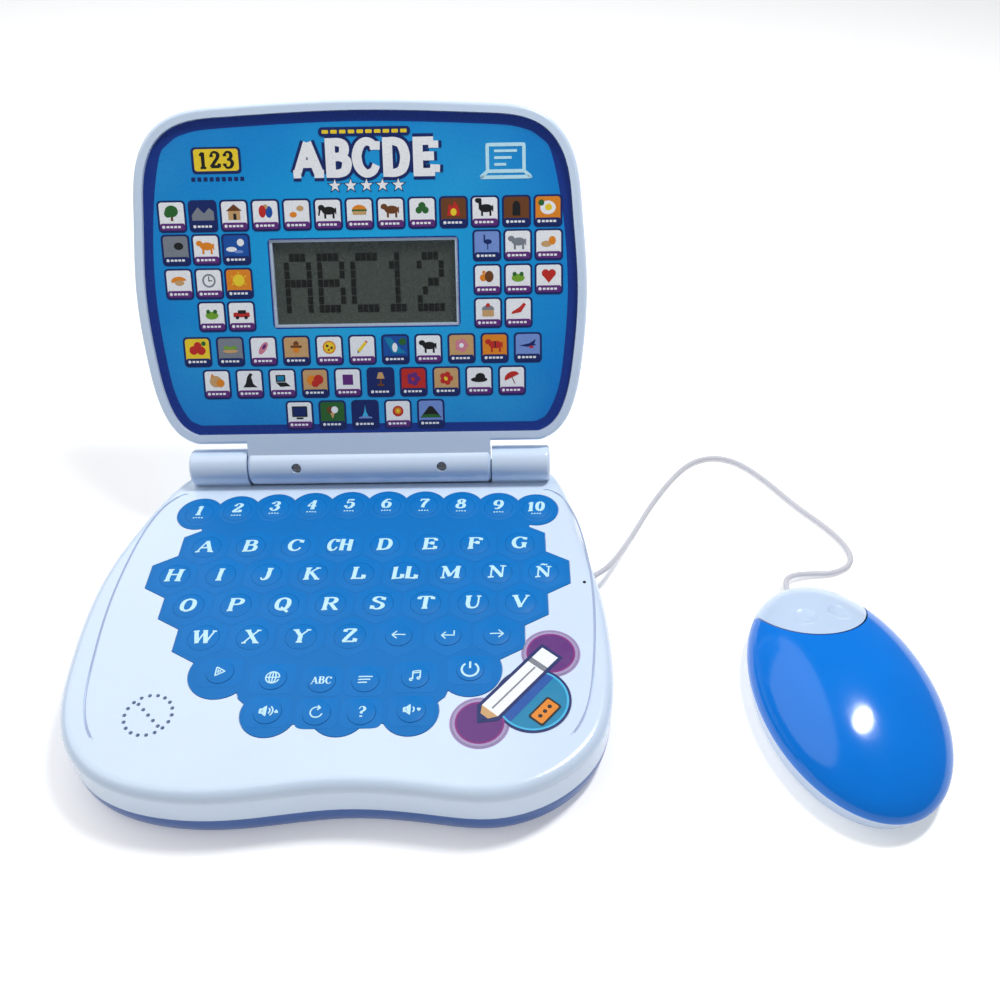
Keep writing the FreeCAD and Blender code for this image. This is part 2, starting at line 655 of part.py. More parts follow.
def mouse_board():
    board = rounded_plate(-15, 15, -26, 42, 4.0, 5.4, 2).cut(box(-3.6, 3.6, 26, 31, 3, 6))
    chip = box(-5, 5, -8, 2, 5.4, 6.8)
    return on_table(board.fuse(chip).removeSplitter())


def mouse_switches():
    pieces = []
    for x, y in SWITCHES:
        body = box(x - 3, x + 3, y - 3, y + 3, 5.4, 9.0)
        pieces.append(body.fuse(rod(1.3, (x, y, 8.9), (x, y, 10.2))).removeSplitter())
    return on_table(group(pieces))


def mouse_feet():
    return on_table(group([Part.makeCylinder(4.5, MOUSE_FEET, V(x, y, 0))
                           for x in (-19, 19) for y in (-30, 27)]))


def mouse_screw():
    return on_table(screw(0, MOUSE_SCREW_Y, 3.0, 16.0, shank_r=1.1, head_r=2.6))


def gland(flange_at, wall_end, tip, flange_r):
    """Rubber strain relief lying along +X: inner flange, neck through the wall, tapered nose."""
    flange = rod(flange_r, (flange_at, 0, 0), (flange_at + 1.4, 0, 0))
    neck = rod(2.2, (flange_at, 0, 0), (wall_end, 0, 0))
    nose = Part.makeCone(2.2, CABLE_D / 2 + 0.35, tip - wall_end, V(wall_end, 0, 0), V(1, 0, 0))
    return join([flange, neck, nose])


MOUSE_GLAND_TIP = 59.9


def ahead_of_mouse(distance):
    """Point on the mouse's long axis, level with its cable, this far ahead of its middle."""
    turn = math.radians(MOUSE_TURN)
    return V(MOUSE_AT.x - distance * math.sin(turn), MOUSE_AT.y + distance * math.cos(turn), GROMMET_Z)


def base_grommet():
    return at_exit(gland(-12.5, -2.4, 0, 3.6))


def mouse_grommet():
    shape = gland(51.0, 57.0, MOUSE_GLAND_TIP, 2.5)
    shape.rotate(V(0, 0, 0), V(0, 0, 1), 90)
    shape.translate(V(0, 0, GROMMET_Z))
    return on_table(shape)


# ---------------------------------------------------------------- mouse cable
# Points of the cable's centre line from the laptop to the mouse, placed by hand.
CABLE_ROUTE = [
    BASE_EXIT, V(107.7, 31.37, PARTING), V(111.6, 36.2, 9.6), V(115.6, 43.6, 7.3),
    V(120.2, 53.2, 4.2), V(125.8, 65.0, CABLE_Z), V(136.2, 84.5, CABLE_Z), V(148.6, 103.5, CABLE_Z),
    V(159.3, 115.6, CABLE_Z), V(171.5, 120.6, CABLE_Z), V(184.0, 116.5, CABLE_Z), V(195.5, 102.5, CABLE_Z),
    V(206.6, 83.0, CABLE_Z), V(218.4, 67.5, CABLE_Z), V(225.2, 54.5, CABLE_Z), V(225.8, 43.0, CABLE_Z),
    V(215.4, 36.4, CABLE_Z), V(203.0, 36.2, 2.0), V(193.6, 33.4, 3.6),
    ahead_of_mouse(MOUSE_GLAND_TIP + 7.4), ahead_of_mouse(MOUSE_GLAND_TIP)]


def tube(route, diameter):
    """Round tube of straight runs joined by tangent arcs; returns the tube, its radii and its length."""
    edges = []
    radii = []
    length = 0.0
    here = route[0]
    for before, corner, after in zip(route, route[1:], route[2:]):
        run_in = corner.sub(before)
        run_out = after.sub(corner)
        turn = run_in.getAngle(run_out)
        trim = 0.45 * min(run_in.Length, run_out.Length)
        radius = trim / math.tan(turn / 2)
        way_in = V(run_in).normalize()
        way_out = V(run_out).normalize()
        arc_start = corner.sub(way_in.multiply(trim))
        arc_end = corner.add(way_out.multiply(trim))
        to_centre = arc_start.add(arc_end).multiply(0.5).sub(corner)
        reach = radius / math.cos(turn / 2) - radius
        middle = corner.add(V(to_centre).normalize().multiply(reach))
        edges.append(Part.LineSegment(here, arc_start).toShape())
        edges.append(Part.Arc(arc_start, middle, arc_end).toShape())
        radii.append(round(radius, 1))
        length += arc_start.sub(here).Length + radius * turn
        here = arc_end
    edges.append(Part.LineSegment(here, route[-1]).toShape())
    length += route[-1].sub(here).Length
    path = Part.Wire(edges)
    section = Part.Wire(Part.makeCircle(diameter / 2, route[0], route[1].sub(route[0])))
    return path.makePipeShell([section], True, False), radii, length


def mouse_cable():
    cable, radii, length = tube(CABLE_ROUTE, CABLE_D)
    section_area = math.pi * (CABLE_D / 2) ** 2
    print("cable radii", radii)
    print("cable length", round(length, 1), "volume / (section x length)",
          round(cable.Volume / (section_area * length), 4))
    return cable


def badge_sticker():
    """Three overlapping round fields on the deck, right of the keys."""
    fields = [circle(53.6, -60.2, 11.4), circle(81.6, -27.6, 11.8), circle(73.8, -50.0, 15.0)]
    sticker = join([slab(field, DECK, DECK + 0.15) for field in fields])
    return sticker.cut(keyboard_area(0.5, DECK - 1, DECK + 2))


# ---------------------------------------------------------------- write every sub-part
save("base_lower_shell", base_lower_shell())
save("base_upper_shell", base_upper_shell())
save("keyboard_overlay", keyboard_overlay())
save("contact_sheet", contact_sheet())
save("key_board", key_board())
save("main_board", main_board())
save("board_screws", board_screws())
save("speaker", speaker())
save("battery_cells", battery_cells())
save("battery_contacts", battery_contacts())
save("battery_cover", battery_cover())
save("battery_cover_screw", battery_cover_screw())
save("base_screws", base_screws())
save("hinge_pins", hinge_pins())
save("base_grommet", base_grommet())
save("badge_sticker", badge_sticker())

for number, (key_x, key_y) in enumerate(digit_places(), start=1):
    save("key_digit_" + str(number), key(key_x, key_y, KEY_R))
for name, (key_x, key_y) in FUNCTION_KEYS.items():
    save(name, key(key_x, key_y, FUNCTION_KEY_R))
save("letter_keys", group([key(x, y, KEY_R) for x, y in letter_places()]))

save("lid_front_shell", on_lid(lid_front_shell()))
save("lid_back_shell", on_lid(lid_back_shell()))
save("lid_panel", on_lid(lid_panel()))
save("lcd_window", on_lid(lcd_window()))
save("lcd_panel", on_lid(lcd_panel()))
save("lcd_board", on_lid(lcd_board()))
save("lid_ribbon", on_lid(lid_ribbon()))
save("lid_screws", on_lid(lid_screws()))
save("block_screws", on_lid(block_screws()))

save("mouse_base_shell", mouse_base_shell())
save("mouse_top_shell", mouse_top_shell())
save("mouse_button_cap", mouse_button_cap())
save("mouse_board", mouse_board())
save("mouse_switches", mouse_switches())
save("mouse_feet", mouse_feet())
save("mouse_screw", mouse_screw())
save("mouse_grommet", mouse_grommet())
save("mouse_cable", mouse_cable())
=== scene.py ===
import bpy
import json
import math
from mathutils import Matrix, Vector


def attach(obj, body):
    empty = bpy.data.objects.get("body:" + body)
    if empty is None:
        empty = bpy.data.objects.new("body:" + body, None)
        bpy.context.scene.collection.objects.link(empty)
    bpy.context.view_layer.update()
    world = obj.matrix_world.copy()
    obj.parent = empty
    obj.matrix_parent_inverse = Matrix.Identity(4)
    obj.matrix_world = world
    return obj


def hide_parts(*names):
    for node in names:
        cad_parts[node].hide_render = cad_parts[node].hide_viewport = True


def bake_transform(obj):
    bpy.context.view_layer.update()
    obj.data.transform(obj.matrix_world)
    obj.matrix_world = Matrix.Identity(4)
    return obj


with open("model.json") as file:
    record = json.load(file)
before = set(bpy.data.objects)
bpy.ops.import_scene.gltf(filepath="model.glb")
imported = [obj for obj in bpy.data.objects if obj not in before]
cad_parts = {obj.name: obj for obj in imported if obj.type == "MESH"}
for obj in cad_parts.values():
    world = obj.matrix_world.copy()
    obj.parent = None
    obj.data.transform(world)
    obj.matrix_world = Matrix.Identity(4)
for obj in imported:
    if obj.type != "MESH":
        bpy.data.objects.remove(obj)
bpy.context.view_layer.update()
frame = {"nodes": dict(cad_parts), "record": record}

# ---------------------------------------------------------------- dimensions, millimetres unless said
MM = 0.001
DECK = 26.0
FILM_TOP = 26.1          # printed film over the keys
KEY_PITCH = 20.0
ROW_STEP = KEY_PITCH * math.sin(math.radians(60))
ROW_TOP = 34.0
KEY_R = 6.4
FUNCTION_KEY_R = 5.4
KEY_TOP = 27.1
KEY_DOME_R = 30.0
HINGE_Y = 81.5
HINGE_Z = 32.6
LID_LEAN = 28.0          # degrees back from upright
PANEL_TOP = 3.8          # printed panel, in front of the hinge axis
LCD_FACE = 1.1
LCD_X = 1.8
LCD_Y = 85.0
CABLE_D = 2.5
SHEET = 0.04             # one printed layer
HAIR = 0.005             # step between shapes of one layer


# ---------------------------------------------------------------- camera
CAMERA_AT = (0.067093, -0.278746, 0.343946)
CAMERA_YAW = -0.98085
CAMERA_PITCH = 42.94261
CAMERA_ROLL = -1.40502


def make_camera():
    yaw = math.radians(CAMERA_YAW)
    pitch = math.radians(CAMERA_PITCH)
    roll = math.radians(CAMERA_ROLL)
    level = Vector((math.cos(yaw), -math.sin(yaw), 0))
    ahead = Vector((math.sin(yaw) * math.cos(pitch), math.cos(yaw) * math.cos(pitch), -math.sin(pitch)))
    up = level.cross(ahead)
    right = level * math.cos(roll) + up * math.sin(roll)
    top = up * math.cos(roll) - level * math.sin(roll)
    data = bpy.data.cameras.new("camera")
    data.lens = 36
    data.sensor_width = 36
    camera = bpy.data.objects.new("camera", data)
    bpy.context.scene.collection.objects.link(camera)
    turn = Matrix((right, top, -ahead)).transposed().to_4x4()
    camera.matrix_world = Matrix.Translation(CAMERA_AT) @ turn
    bpy.context.scene.camera = camera


make_camera()


# ---------------------------------------------------------------- mesh helpers
def new_object(name, points, faces, inks=(), materials=()):
    mesh = bpy.data.meshes.new(name)
    mesh.from_pydata([tuple(p) for p in points], [], faces)
    for material in materials:
        mesh.materials.append(material)
    if inks:
        mesh.polygons.foreach_set("material_index", inks)
    mesh.validate()
    mesh.update()
    made = bpy.data.objects.new(name, mesh)
    bpy.context.scene.collection.objects.link(made)
    return made


def shade_smooth(piece, angle):
    for polygon in piece.data.polygons:
        polygon.use_smooth = True
    piece.data.set_sharp_from_angle(angle=math.radians(angle))


def smooth_line(points, steps=6):
    """Catmull-Rom line through the points."""
    padded = [points[0]] + list(points) + [points[-1]]
    line = []
    for a, b, c, d in zip(padded, padded[1:], padded[2:], padded[3:]):
        for k in range(steps):
            t = k / steps
            line.append(tuple(
                0.5 * (2 * b[i] + (c[i] - a[i]) * t + (2 * a[i] - 5 * b[i] + 4 * c[i] - d[i]) * t * t
                       + (3 * b[i] - a[i] - 3 * c[i] + d[i]) * t ** 3) for i in range(len(b))))
    line.append(tuple(points[-1]))
    return line


def prism(name, outline, surface, low, high, materials=()):
    """The closed solid between two heights of an outline laid on a surface."""
    count = len(outline)
    points = [surface(x, y, low) for x, y in outline] + [surface(x, y, high) for x, y in outline]
    faces = [tuple(reversed(range(count))), tuple(range(count, 2 * count))]
    faces += [(k, (k + 1) % count, count + (k + 1) % count, count + k) for k in range(count)]
    return new_object(name, points, faces, materials=materials)


# ---------------------------------------------------------------- mouse cable
# The cable's route from the laptop to the mouse, in metres.
CABLE_Z = 0.00135
MOUSE_AT = Vector((0.1996, -0.0393, 0))
MOUSE_TURN = math.radians(8.5)


def ahead_of_mouse(distance):
    return (MOUSE_AT.x - distance * math.sin(MOUSE_TURN), MOUSE_AT.y + distance * math.cos(MOUSE_TURN),
            0.0052)


CABLE_ROUTE = [
    (0.1036, 0.0285, 0.0105), (0.1077, 0.03137, 0.0105), (0.1116, 0.0362, 0.0096), (0.1156, 0.0436, 0.0073),
    (0.1202, 0.0532, 0.0042), (0.1258, 0.0650, CABLE_Z), (0.1362, 0.0845, CABLE_Z),
    (0.1486, 0.1035, CABLE_Z), (0.1593, 0.1156, CABLE_Z), (0.1715, 0.1206, CABLE_Z),
    (0.1840, 0.1165, CABLE_Z), (0.1955, 0.1025, CABLE_Z), (0.2066, 0.0830, CABLE_Z),
    (0.2184, 0.0675, CABLE_Z), (0.2252, 0.0545, CABLE_Z), (0.2258, 0.0430, CABLE_Z),
    (0.2154, 0.0364, CABLE_Z), (0.2030, 0.0362, 0.0020), (0.1936, 0.0334, 0.0036), ahead_of_mouse(0.0673),
    ahead_of_mouse(0.0599),
]


def cable_line():
    """The route's NURBS line, as points."""
    data = bpy.data.curves.new("cable_line", "CURVE")
    data.dimensions = "3D"
    spline = data.splines.new("NURBS")
    spline.points.add(len(CABLE_ROUTE) - 1)
    for point, place in zip(spline.points, CABLE_ROUTE):
        point.co = (*place, 1)
    spline.order_u = 3
    spline.use_endpoint_u = True
    spline.resolution_u = 10
    guide = bpy.data.objects.new("cable_line", data)
    bpy.context.scene.collection.objects.link(guide)
    bpy.context.view_layer.update()
    mesh = bpy.data.meshes.new_from_object(guide.evaluated_get(bpy.context.evaluated_depsgraph_get()))
    line = [v.co.copy() for v in mesh.vertices]
    bpy.data.objects.remove(guide)
    bpy.data.meshes.remove(mesh)
    return line


def make_cable():
    line = cable_line()
    sides = 16
    points = []
    faces = []
    across = Vector((0, 0, 1))
    for i, centre in enumerate(line):
        ahead = (line[min(i + 1, len(line) - 1)] - line[max(i - 1, 0)]).normalized()
        across = (across - ahead * across.dot(ahead)).normalized()
        other = ahead.cross(across)
        for k in range(sides):
            angle = 2 * math.pi * k / sides
            points.append(centre + (across * math.cos(angle) + other * math.sin(angle)) * CABLE_D / 2 * MM)
    for i in range(len(line) - 1):
        for k in range(sides):
            low = i * sides + k
            beside = i * sides + (k + 1) % sides
            faces.append((low, beside, beside + sides, low + sides))
    faces.append(tuple(reversed(range(sides))))
    faces.append(tuple(range((len(line) - 1) * sides, len(line) * sides)))
    cable = new_object("mouse_cable_jacket", points, faces)
    shade_smooth(cable, 60)
    length = sum((b - a).length for a, b in zip(line, line[1:]))
    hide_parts("mouse_cable")
    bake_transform(cable)
    return cable


cable = make_cable()


# ---------------------------------------------------------------- materials
def srgb(red, green, blue):
    """Linear colour from the usual 0 to 255 values."""
    return tuple((c / 255 / 12.92) if c / 255 <= 0.04045 else ((c / 255 + 0.055) / 1.055) ** 2.4
                 for c in (red, green, blue))


class Shader:
    """A Principled material under construction, with the object's own coordinates at hand."""

    def __init__(self, name):
        self.material = bpy.data.materials.new(name)
        self.material.use_nodes = True
        self.tree = self.material.node_tree
        self.surface = self.tree.nodes["Principled BSDF"]
        self.coordinates = self.tree.nodes.new("ShaderNodeTexCoord").outputs["Object"]

    def set(self, **values):
        for socket, value in values.items():
            self.surface.inputs[socket.replace("_", " ")].default_value = value

    def link(self, output, socket):
        self.tree.links.new(output, self.surface.inputs[socket])

    def noise(self, scale, detail=3.0):
        node = self.tree.nodes.new("ShaderNodeTexNoise")
        node.inputs["Scale"].default_value = scale
        node.inputs["Detail"].default_value = detail
        self.tree.links.new(self.coordinates, node.inputs["Vector"])
        return node.outputs["Fac"]

    def span(self, value, low, high, from_low=0.3, from_high=0.7):
        node = self.tree.nodes.new("ShaderNodeMapRange")
        node.inputs["From Min"].default_value = from_low
        node.inputs["From Max"].default_value = from_high
        node.inputs["To Min"].default_value = low
        node.inputs["To Max"].default_value = high
        self.tree.links.new(value, node.inputs["Value"])
        return node.outputs["Result"]

    def mix(self, factor, first, second):
        node = self.tree.nodes.new("ShaderNodeMix")
        node.data_type = "RGBA"
        self.tree.links.new(factor, node.inputs["Factor"])
        for socket, colour in ((node.inputs[6], first), (node.inputs[7], second)):
            if isinstance(colour, tuple):
                socket.default_value = (*colour, 1)
            else:
                self.tree.links.new(colour, socket)
        return node.outputs[2]

    def relief(self, height, depth, strength):
        node = self.tree.nodes.new("ShaderNodeBump")
        node.inputs["Distance"].default_value = depth
        node.inputs["Strength"].default_value = strength
        self.tree.links.new(height, node.inputs["Height"])
        self.link(node.outputs["Normal"], "Normal")


def shade(colour, factor):
    return tuple(min(c * factor, 1.0) for c in colour)


def plastic(name, colour, gloss, variation=0.04, grain=700, depth=0.00002, coat=0.0, subsurface=0.0,
            specular=0.5):
    """Moulded plastic: faint mottling, uneven gloss and a fine orange-peel surface."""
    made = Shader(name)
    mottle = made.noise(45)
    made.link(made.mix(made.span(mottle, 0, 1), shade(colour, 1 - variation), shade(colour, 1 + variation)),
              "Base Color")
    made.link(made.span(made.noise(160, 5), gloss * 0.96, gloss * 1.05), "Roughness")
    made.relief(made.noise(grain, 2), depth, 0.1)
    made.set(Coat_Weight=coat, Coat_Roughness=0.08, Specular_IOR_Level=specular,
             Subsurface_Weight=subsurface, Subsurface_Scale=0.002)
    return made.material


def metal(name, colour, gloss):
    """Plated steel with fine turning marks."""
    made = Shader(name)
    made.link(made.mix(made.span(made.noise(900), 0, 1), shade(colour, 0.85), shade(colour, 1.1)),
              "Base Color")
    made.link(made.span(made.noise(2200, 4), gloss * 0.7, gloss * 1.4), "Roughness")
    made.relief(made.noise(2600, 2), 0.00002, 0.3)
    made.set(Metallic=1.0)
    return made.material


def ink(name, colour, gloss=0.34, variation=0.07):
    """Printed ink: a fine uneven screen over the colour."""
    made = Shader(name)
    screen = made.noise(1400, 2)
    made.link(made.mix(made.span(screen, 0, 1), shade(colour, 1 - variation), shade(colour, 1 + variation)),
              "Base Color")
    made.link(made.span(made.noise(300), gloss * 0.85, gloss * 1.15), "Roughness")
    return made.material


def panel_field_material():
    """The lid's blue field: bright at the middle, deeper blue at the corners and the foot."""
    made = Shader("lid_field_blue")
    lean = math.radians(90 - LID_LEAN)
    tree = made.tree
    place = tree.nodes.new("ShaderNodeVectorMath")
    place.operation = "SUBTRACT"
    place.inputs[1].default_value = (0.002, (HINGE_Y + 88 * math.cos(lean)) * MM,
                                     (HINGE_Z + 88 * math.sin(lean)) * MM)
    tree.links.new(made.coordinates, place.inputs[0])
    squeeze = tree.nodes.new("ShaderNodeVectorMath")
    squeeze.operation = "MULTIPLY"
    squeeze.inputs[1].default_value = (8.6, 11.5, 11.5)
    tree.links.new(place.outputs[0], squeeze.inputs[0])
    reach = tree.nodes.new("ShaderNodeVectorMath")
    reach.operation = "LENGTH"
    tree.links.new(squeeze.outputs[0], reach.inputs[0])
    outward = made.span(reach.outputs["Value"], 0, 1, 0.15, 1.15)
    glow = made.mix(outward, srgb(16, 178, 238), srgb(0, 112, 206))
    streaks = made.span(made.noise(14, 2), 0, 0.35, 0.45, 0.75)
    made.link(made.mix(streaks, glow, srgb(60, 190, 235)), "Base Color")
    made.link(made.span(made.noise(200), 0.22, 0.32), "Roughness")
    made.set(Coat_Weight=0.3, Coat_Roughness=0.06)
    return made.material


def lcd_material():
    """Reflective display: grey-green, a little cloudy."""
    made = Shader("lcd_grey")
    made.link(made.mix(made.span(made.noise(30), 0, 1), srgb(80, 88, 81), srgb(84, 92, 84)), "Base Color")
    made.link(made.span(made.noise(300), 0.22, 0.34), "Roughness")
    return made.material


def window_material():
    made = Shader("window_clear")
    made.link(made.mix(made.span(made.noise(80), 0, 1), (0.05, 0.06, 0.06), (0.07, 0.08, 0.08)), "Base Color")
    made.link(made.span(made.noise(400), 0.02, 0.06), "Roughness")
    made.set(Alpha=0.06, IOR=1.45)
    return made.material


def circuit_material():
    """Green solder mask with paler tracks."""
    made = Shader("board_green")
    tracks = made.tree.nodes.new("ShaderNodeTexBrick")
    tracks.inputs["Scale"].default_value = 180
    tracks.inputs["Mortar Size"].default_value = 0.03
    made.tree.links.new(made.coordinates, tracks.inputs["Vector"])
    tracks.inputs["Color1"].default_value = (*srgb(14, 92, 48), 1)
    tracks.inputs["Color2"].default_value = (*srgb(20, 104, 54), 1)
    tracks.inputs["Mortar"].default_value = (*srgb(48, 140, 78), 1)
    made.link(tracks.outputs["Color"], "Base Color")
    made.link(made.span(made.noise(500), 0.3, 0.42), "Roughness")
    return made.material


WHITE = srgb(214, 231, 252)
FILM_BLUE = srgb(0, 117, 197)
SLOT_MATERIALS = {
    "white_shell": plastic("shell_white", WHITE, 0.24, variation=0.012, coat=0.35, subsurface=0.05),
    "blue_shell": plastic("shell_blue", srgb(30, 88, 164), 0.3, coat=0.1),
    # The film sheet, seen in the grooves between the raised cells, is a twentieth darker than the keys:
    # painted shade in the grooves.
    "key_film": plastic("film_blue_groove_shade", shade(FILM_BLUE, 0.95), 0.4, variation=0.03, specular=0.22),
    "key_caps": plastic("key_blue", FILM_BLUE, 0.4, variation=0.03, specular=0.22),
    "contact_rubber": plastic("rubber_grey", srgb(200, 200, 196), 0.6),
    "circuit_board": circuit_material(),
    "screw_steel": metal("steel_plated", srgb(176, 176, 180), 0.32),
    "speaker_black": plastic("speaker_black", srgb(38, 38, 40), 0.55, grain=2200, depth=0.00008),
    "cell_jacket": plastic("cell_jacket_dark", srgb(52, 60, 70), 0.25, coat=0.3),
    "contact_nickel": metal("contact_nickel", srgb(210, 206, 196), 0.22),
    "cable_white": plastic("cable_white", srgb(206, 206, 214), 0.42, variation=0.03, grain=1600,
                           depth=0.00004),
    "badge_print": ink("badge_ground", srgb(166, 132, 196)),
    "panel_print": ink("panel_navy", srgb(22, 56, 142), 0.26, 0.05),
    "clear_window": window_material(),
    "lcd_glass": lcd_material(),
    "ribbon_cable": plastic("ribbon_grey", srgb(170, 170, 176), 0.45, variation=0.08),
    "mouse_white": plastic("mouse_white", srgb(196, 216, 242), 0.26, variation=0.012, coat=0.3,
                           subsurface=0.05),
    "mouse_blue": plastic("mouse_blue", srgb(0, 122, 226), 0.14, variation=0.03, coat=0.15, specular=0.35),
    "switch_black": plastic("switch_black", srgb(40, 40, 44), 0.5),
    "foot_pad": plastic("pad_dark", srgb(60, 60, 64), 0.7),
}

for part in frame["record"]["subparts"]:
    node = frame["nodes"][part["node"]]
    node.data.materials.clear()
    node.data.materials.append(SLOT_MATERIALS[part["material_slot"]])

cable.data.materials.append(SLOT_MATERIALS["cable_white"])

INK_COLOURS = {
    "legend": (196, 238, 255), "white": (244, 246, 250), "navy": (18, 40, 104), "black": (26, 28, 30),
    "grey": (128, 134, 144), "green": (44, 104, 48), "lime": (118, 168, 48), "brown": (112, 66, 34),
    "tan": (206, 164, 112), "orange": (232, 138, 36), "yellow": (244, 212, 50), "red": (196, 44, 38),
    "pink": (214, 128, 150), "purple": (98, 44, 124), "lilac": (168, 150, 196), "plum": (138, 40, 126),
    "sky": (120, 150, 216), "teal": (10, 132, 176), "blue": (24, 84, 168), "cyan": (66, 186, 232),
    # The last colour is painted shade along the floor of the deck's groove, not a printed ink.
    "segment": (18, 22, 20), "groove_shade": (168, 182, 212),
}
INKS = {name: ink("ink_" + name, srgb(*colour), variation=0.02 if name == "segment" else 0.07)
        for name, colour in INK_COLOURS.items()}
INK_NAMES = list(INKS)


# ---------------------------------------------------------------- printed shapes
def disc(x, y, rx, ry=None, start=0, end=360, count=28):
    """Points of an ellipse, or of a slice of one, anticlockwise."""
    whole = end - start == 360
    steps = count if whole else count + 1
    angles = [math.radians(start + (end - start) * k / count) for k in range(steps)]
    return [(x + rx * math.cos(angle), y + (ry or rx) * math.sin(angle)) for angle in angles]


def slab(x, y, half_x, half_y, corner=0.0):
    """Points of a rectangle with round corners, anticlockwise."""
    if not corner:
        return [(x - half_x, y - half_y), (x + half_x, y - half_y), (x + half_x, y + half_y),
                (x - half_x, y + half_y)]
    points = []
    for side_x, side_y, start in ((1, 1, 0), (-1, 1, 90), (-1, -1, 180), (1, -1, 270)):
        points += disc(x + side_x * (half_x - corner), y + side_y * (half_y - corner), corner, corner,
                       start, start + 90, 5)
    return points


def arc_line(x, y, radius, start, end, count=18):
    return disc(x, y, radius, radius, start, end, count)


def moved(points, x, y, scale=1.0, turn=0.0):
    c = math.cos(math.radians(turn)) * scale
    s = math.sin(math.radians(turn)) * scale
    return [(x + px * c - py * s, y + px * s + py * c) for px, py in points]


def turned(points, turn):
    return moved(points, 0, 0, 1, turn)


def on_lid(x, y, height):
    """A point of the lid's face: x across, y up from the hinge axis, height out of the face."""
    lean = math.radians(90 - LID_LEAN)
    return Vector((x, HINGE_Y + y * math.cos(lean) - height * math.sin(lean),
                   HINGE_Z + y * math.sin(lean) + height * math.cos(lean))) * MM


def on_deck(x, y, height):
    return Vector((x, y, height)) * MM


class Print:
    """Thin closed shapes gathered into one mesh, each in an ink, laid on a surface."""

    def __init__(self, surface, base):
        self.surface = surface
        self.base = base
        self.points = []
        self.faces = []
        self.inks = []
        self.shapes = 0

    def rise(self, layer):
        """Height of a layer's top; shapes of one layer differ by a hair, so that none coincide."""
        self.shapes += 1
        return layer * SHEET + self.shapes % 7 * HAIR

    def add(self, lower, upper, sides, ink_name):
        self.faces += [lower, upper] + sides
        self.inks += [INK_NAMES.index(ink_name)] * (2 + len(sides))

    def plate(self, outline, layer, ink_name):
        """A flat shape whose top lies layer sheets above the surface."""
        area = sum(a[0] * b[1] - b[0] * a[1] for a, b in zip(outline, outline[1:] + outline[:1]))
        if area < 0:
            outline = outline[::-1]
        first = len(self.points)
        count = len(outline)
        low = self.base - SHEET
        high = self.base + self.rise(layer)
        self.points += [self.surface(x, y, low) for x, y in outline]
        self.points += [self.surface(x, y, high) for x, y in outline]
        sides = [(first + k, first + (k + 1) % count, first + count + (k + 1) % count, first + count + k)
                 for k in range(count)]
        self.add(tuple(reversed(range(first, first + count))), tuple(range(first + count, first + 2 * count)),
                 sides, ink_name)

    def ribbon(self, line, widths, layer, ink_name):
        """A stroke along the line, as wide at each point as widths says."""
        first = len(self.points)
        last = len(line) - 1
        top = self.rise(layer)
        for i, (x, y) in enumerate(line):
            ahead = Vector(line[min(i + 1, last)]) - Vector(line[max(i - 1, 0)])
            side = Vector((-ahead.y, ahead.x)).normalized() * widths[i] / 2
            for height in (-SHEET, top):
                for sign in (1, -1):
                    self.points.append(self.surface(x + sign * side.x, y + sign * side.y, self.base + height))
        sides = []
        for i in range(last):
            a = first + 4 * i
            b = a + 4
            sides += [(a + 2, a + 3, b + 3, b + 2), (a + 1, a, b, b + 1), (a, a + 2, b + 2, b),
                      (a + 3, a + 1, b + 1, b + 3)]
        end = first + 4 * last
        self.add((first, first + 1, first + 3, first + 2), (end + 1, end, end + 2, end + 3), sides, ink_name)

    def stroke(self, line, width, layer, ink_name):
        self.ribbon(divided(line), [width] * len(divided(line)), layer, ink_name)

    def make(self, name, body):
        used = sorted(set(self.inks))
        materials = [INKS[INK_NAMES[i]] for i in used]
        piece = new_object(name, self.points, self.faces, [used.index(i) for i in self.inks], materials)
        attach(piece, body)
        return piece


def divided(line, step=0.7):
    """The line with points added, so that it can lie on a domed key."""
    points = [line[0]]
    for a, b in zip(line, line[1:]):
        parts = max(1, math.ceil(math.hypot(b[0] - a[0], b[1] - a[1]) / step))
        points += [(a[0] + (b[0] - a[0]) * k / parts,
                    a[1] + (b[1] - a[1]) * k / parts) for k in range(1, parts + 1)]
    return points


# ---------------------------------------------------------------- serif figures and letters
CAP = 7.0                # height of a capital in the pen's own units


def serif(x, y, half=1.15):
    return [(x - half, y), (x + half, y)]


def stem(x, top=CAP, foot=0.0):
    return [[(x, top), (x, foot)], serif(x, top), serif(x, foot)]


BOWL_O = [[(3.4, 7.1), (1.7, 6.0), (1.1, 3.5), (1.7, 1.0), (3.4, -0.1)],
          [(3.4, 7.1), (5.1, 6.0), (5.7, 3.5), (5.1, 1.0), (3.4, -0.1)]]
BOWL_P = [[(1.6, 7), (3.8, 7), (5.1, 6.3), (5.3, 5.1), (4.8, 4.0), (3.6, 3.4), (1.6, 3.4)]]
PEN_N = [[(1.2, 0), (1.2, 7)], [(1.0, 7), (5.6, 0)], [(5.6, 0), (5.6, 7)], serif(1.2, 0), serif(0.9, 7, 0.8),
         serif(5.6, 7)]
PEN_6 = [[(4.8, 6.5), (3.2, 6.7), (1.6, 4.9), (1.2, 2.4), (2.0, 0.4), (3.2, 0)],
         [(3.2, 4.2), (4.6, 3.6), (5.0, 2.0), (4.4, 0.4), (3.2, 0)], [(1.3, 3.0), (2.2, 4.1), (3.2, 4.2)]]

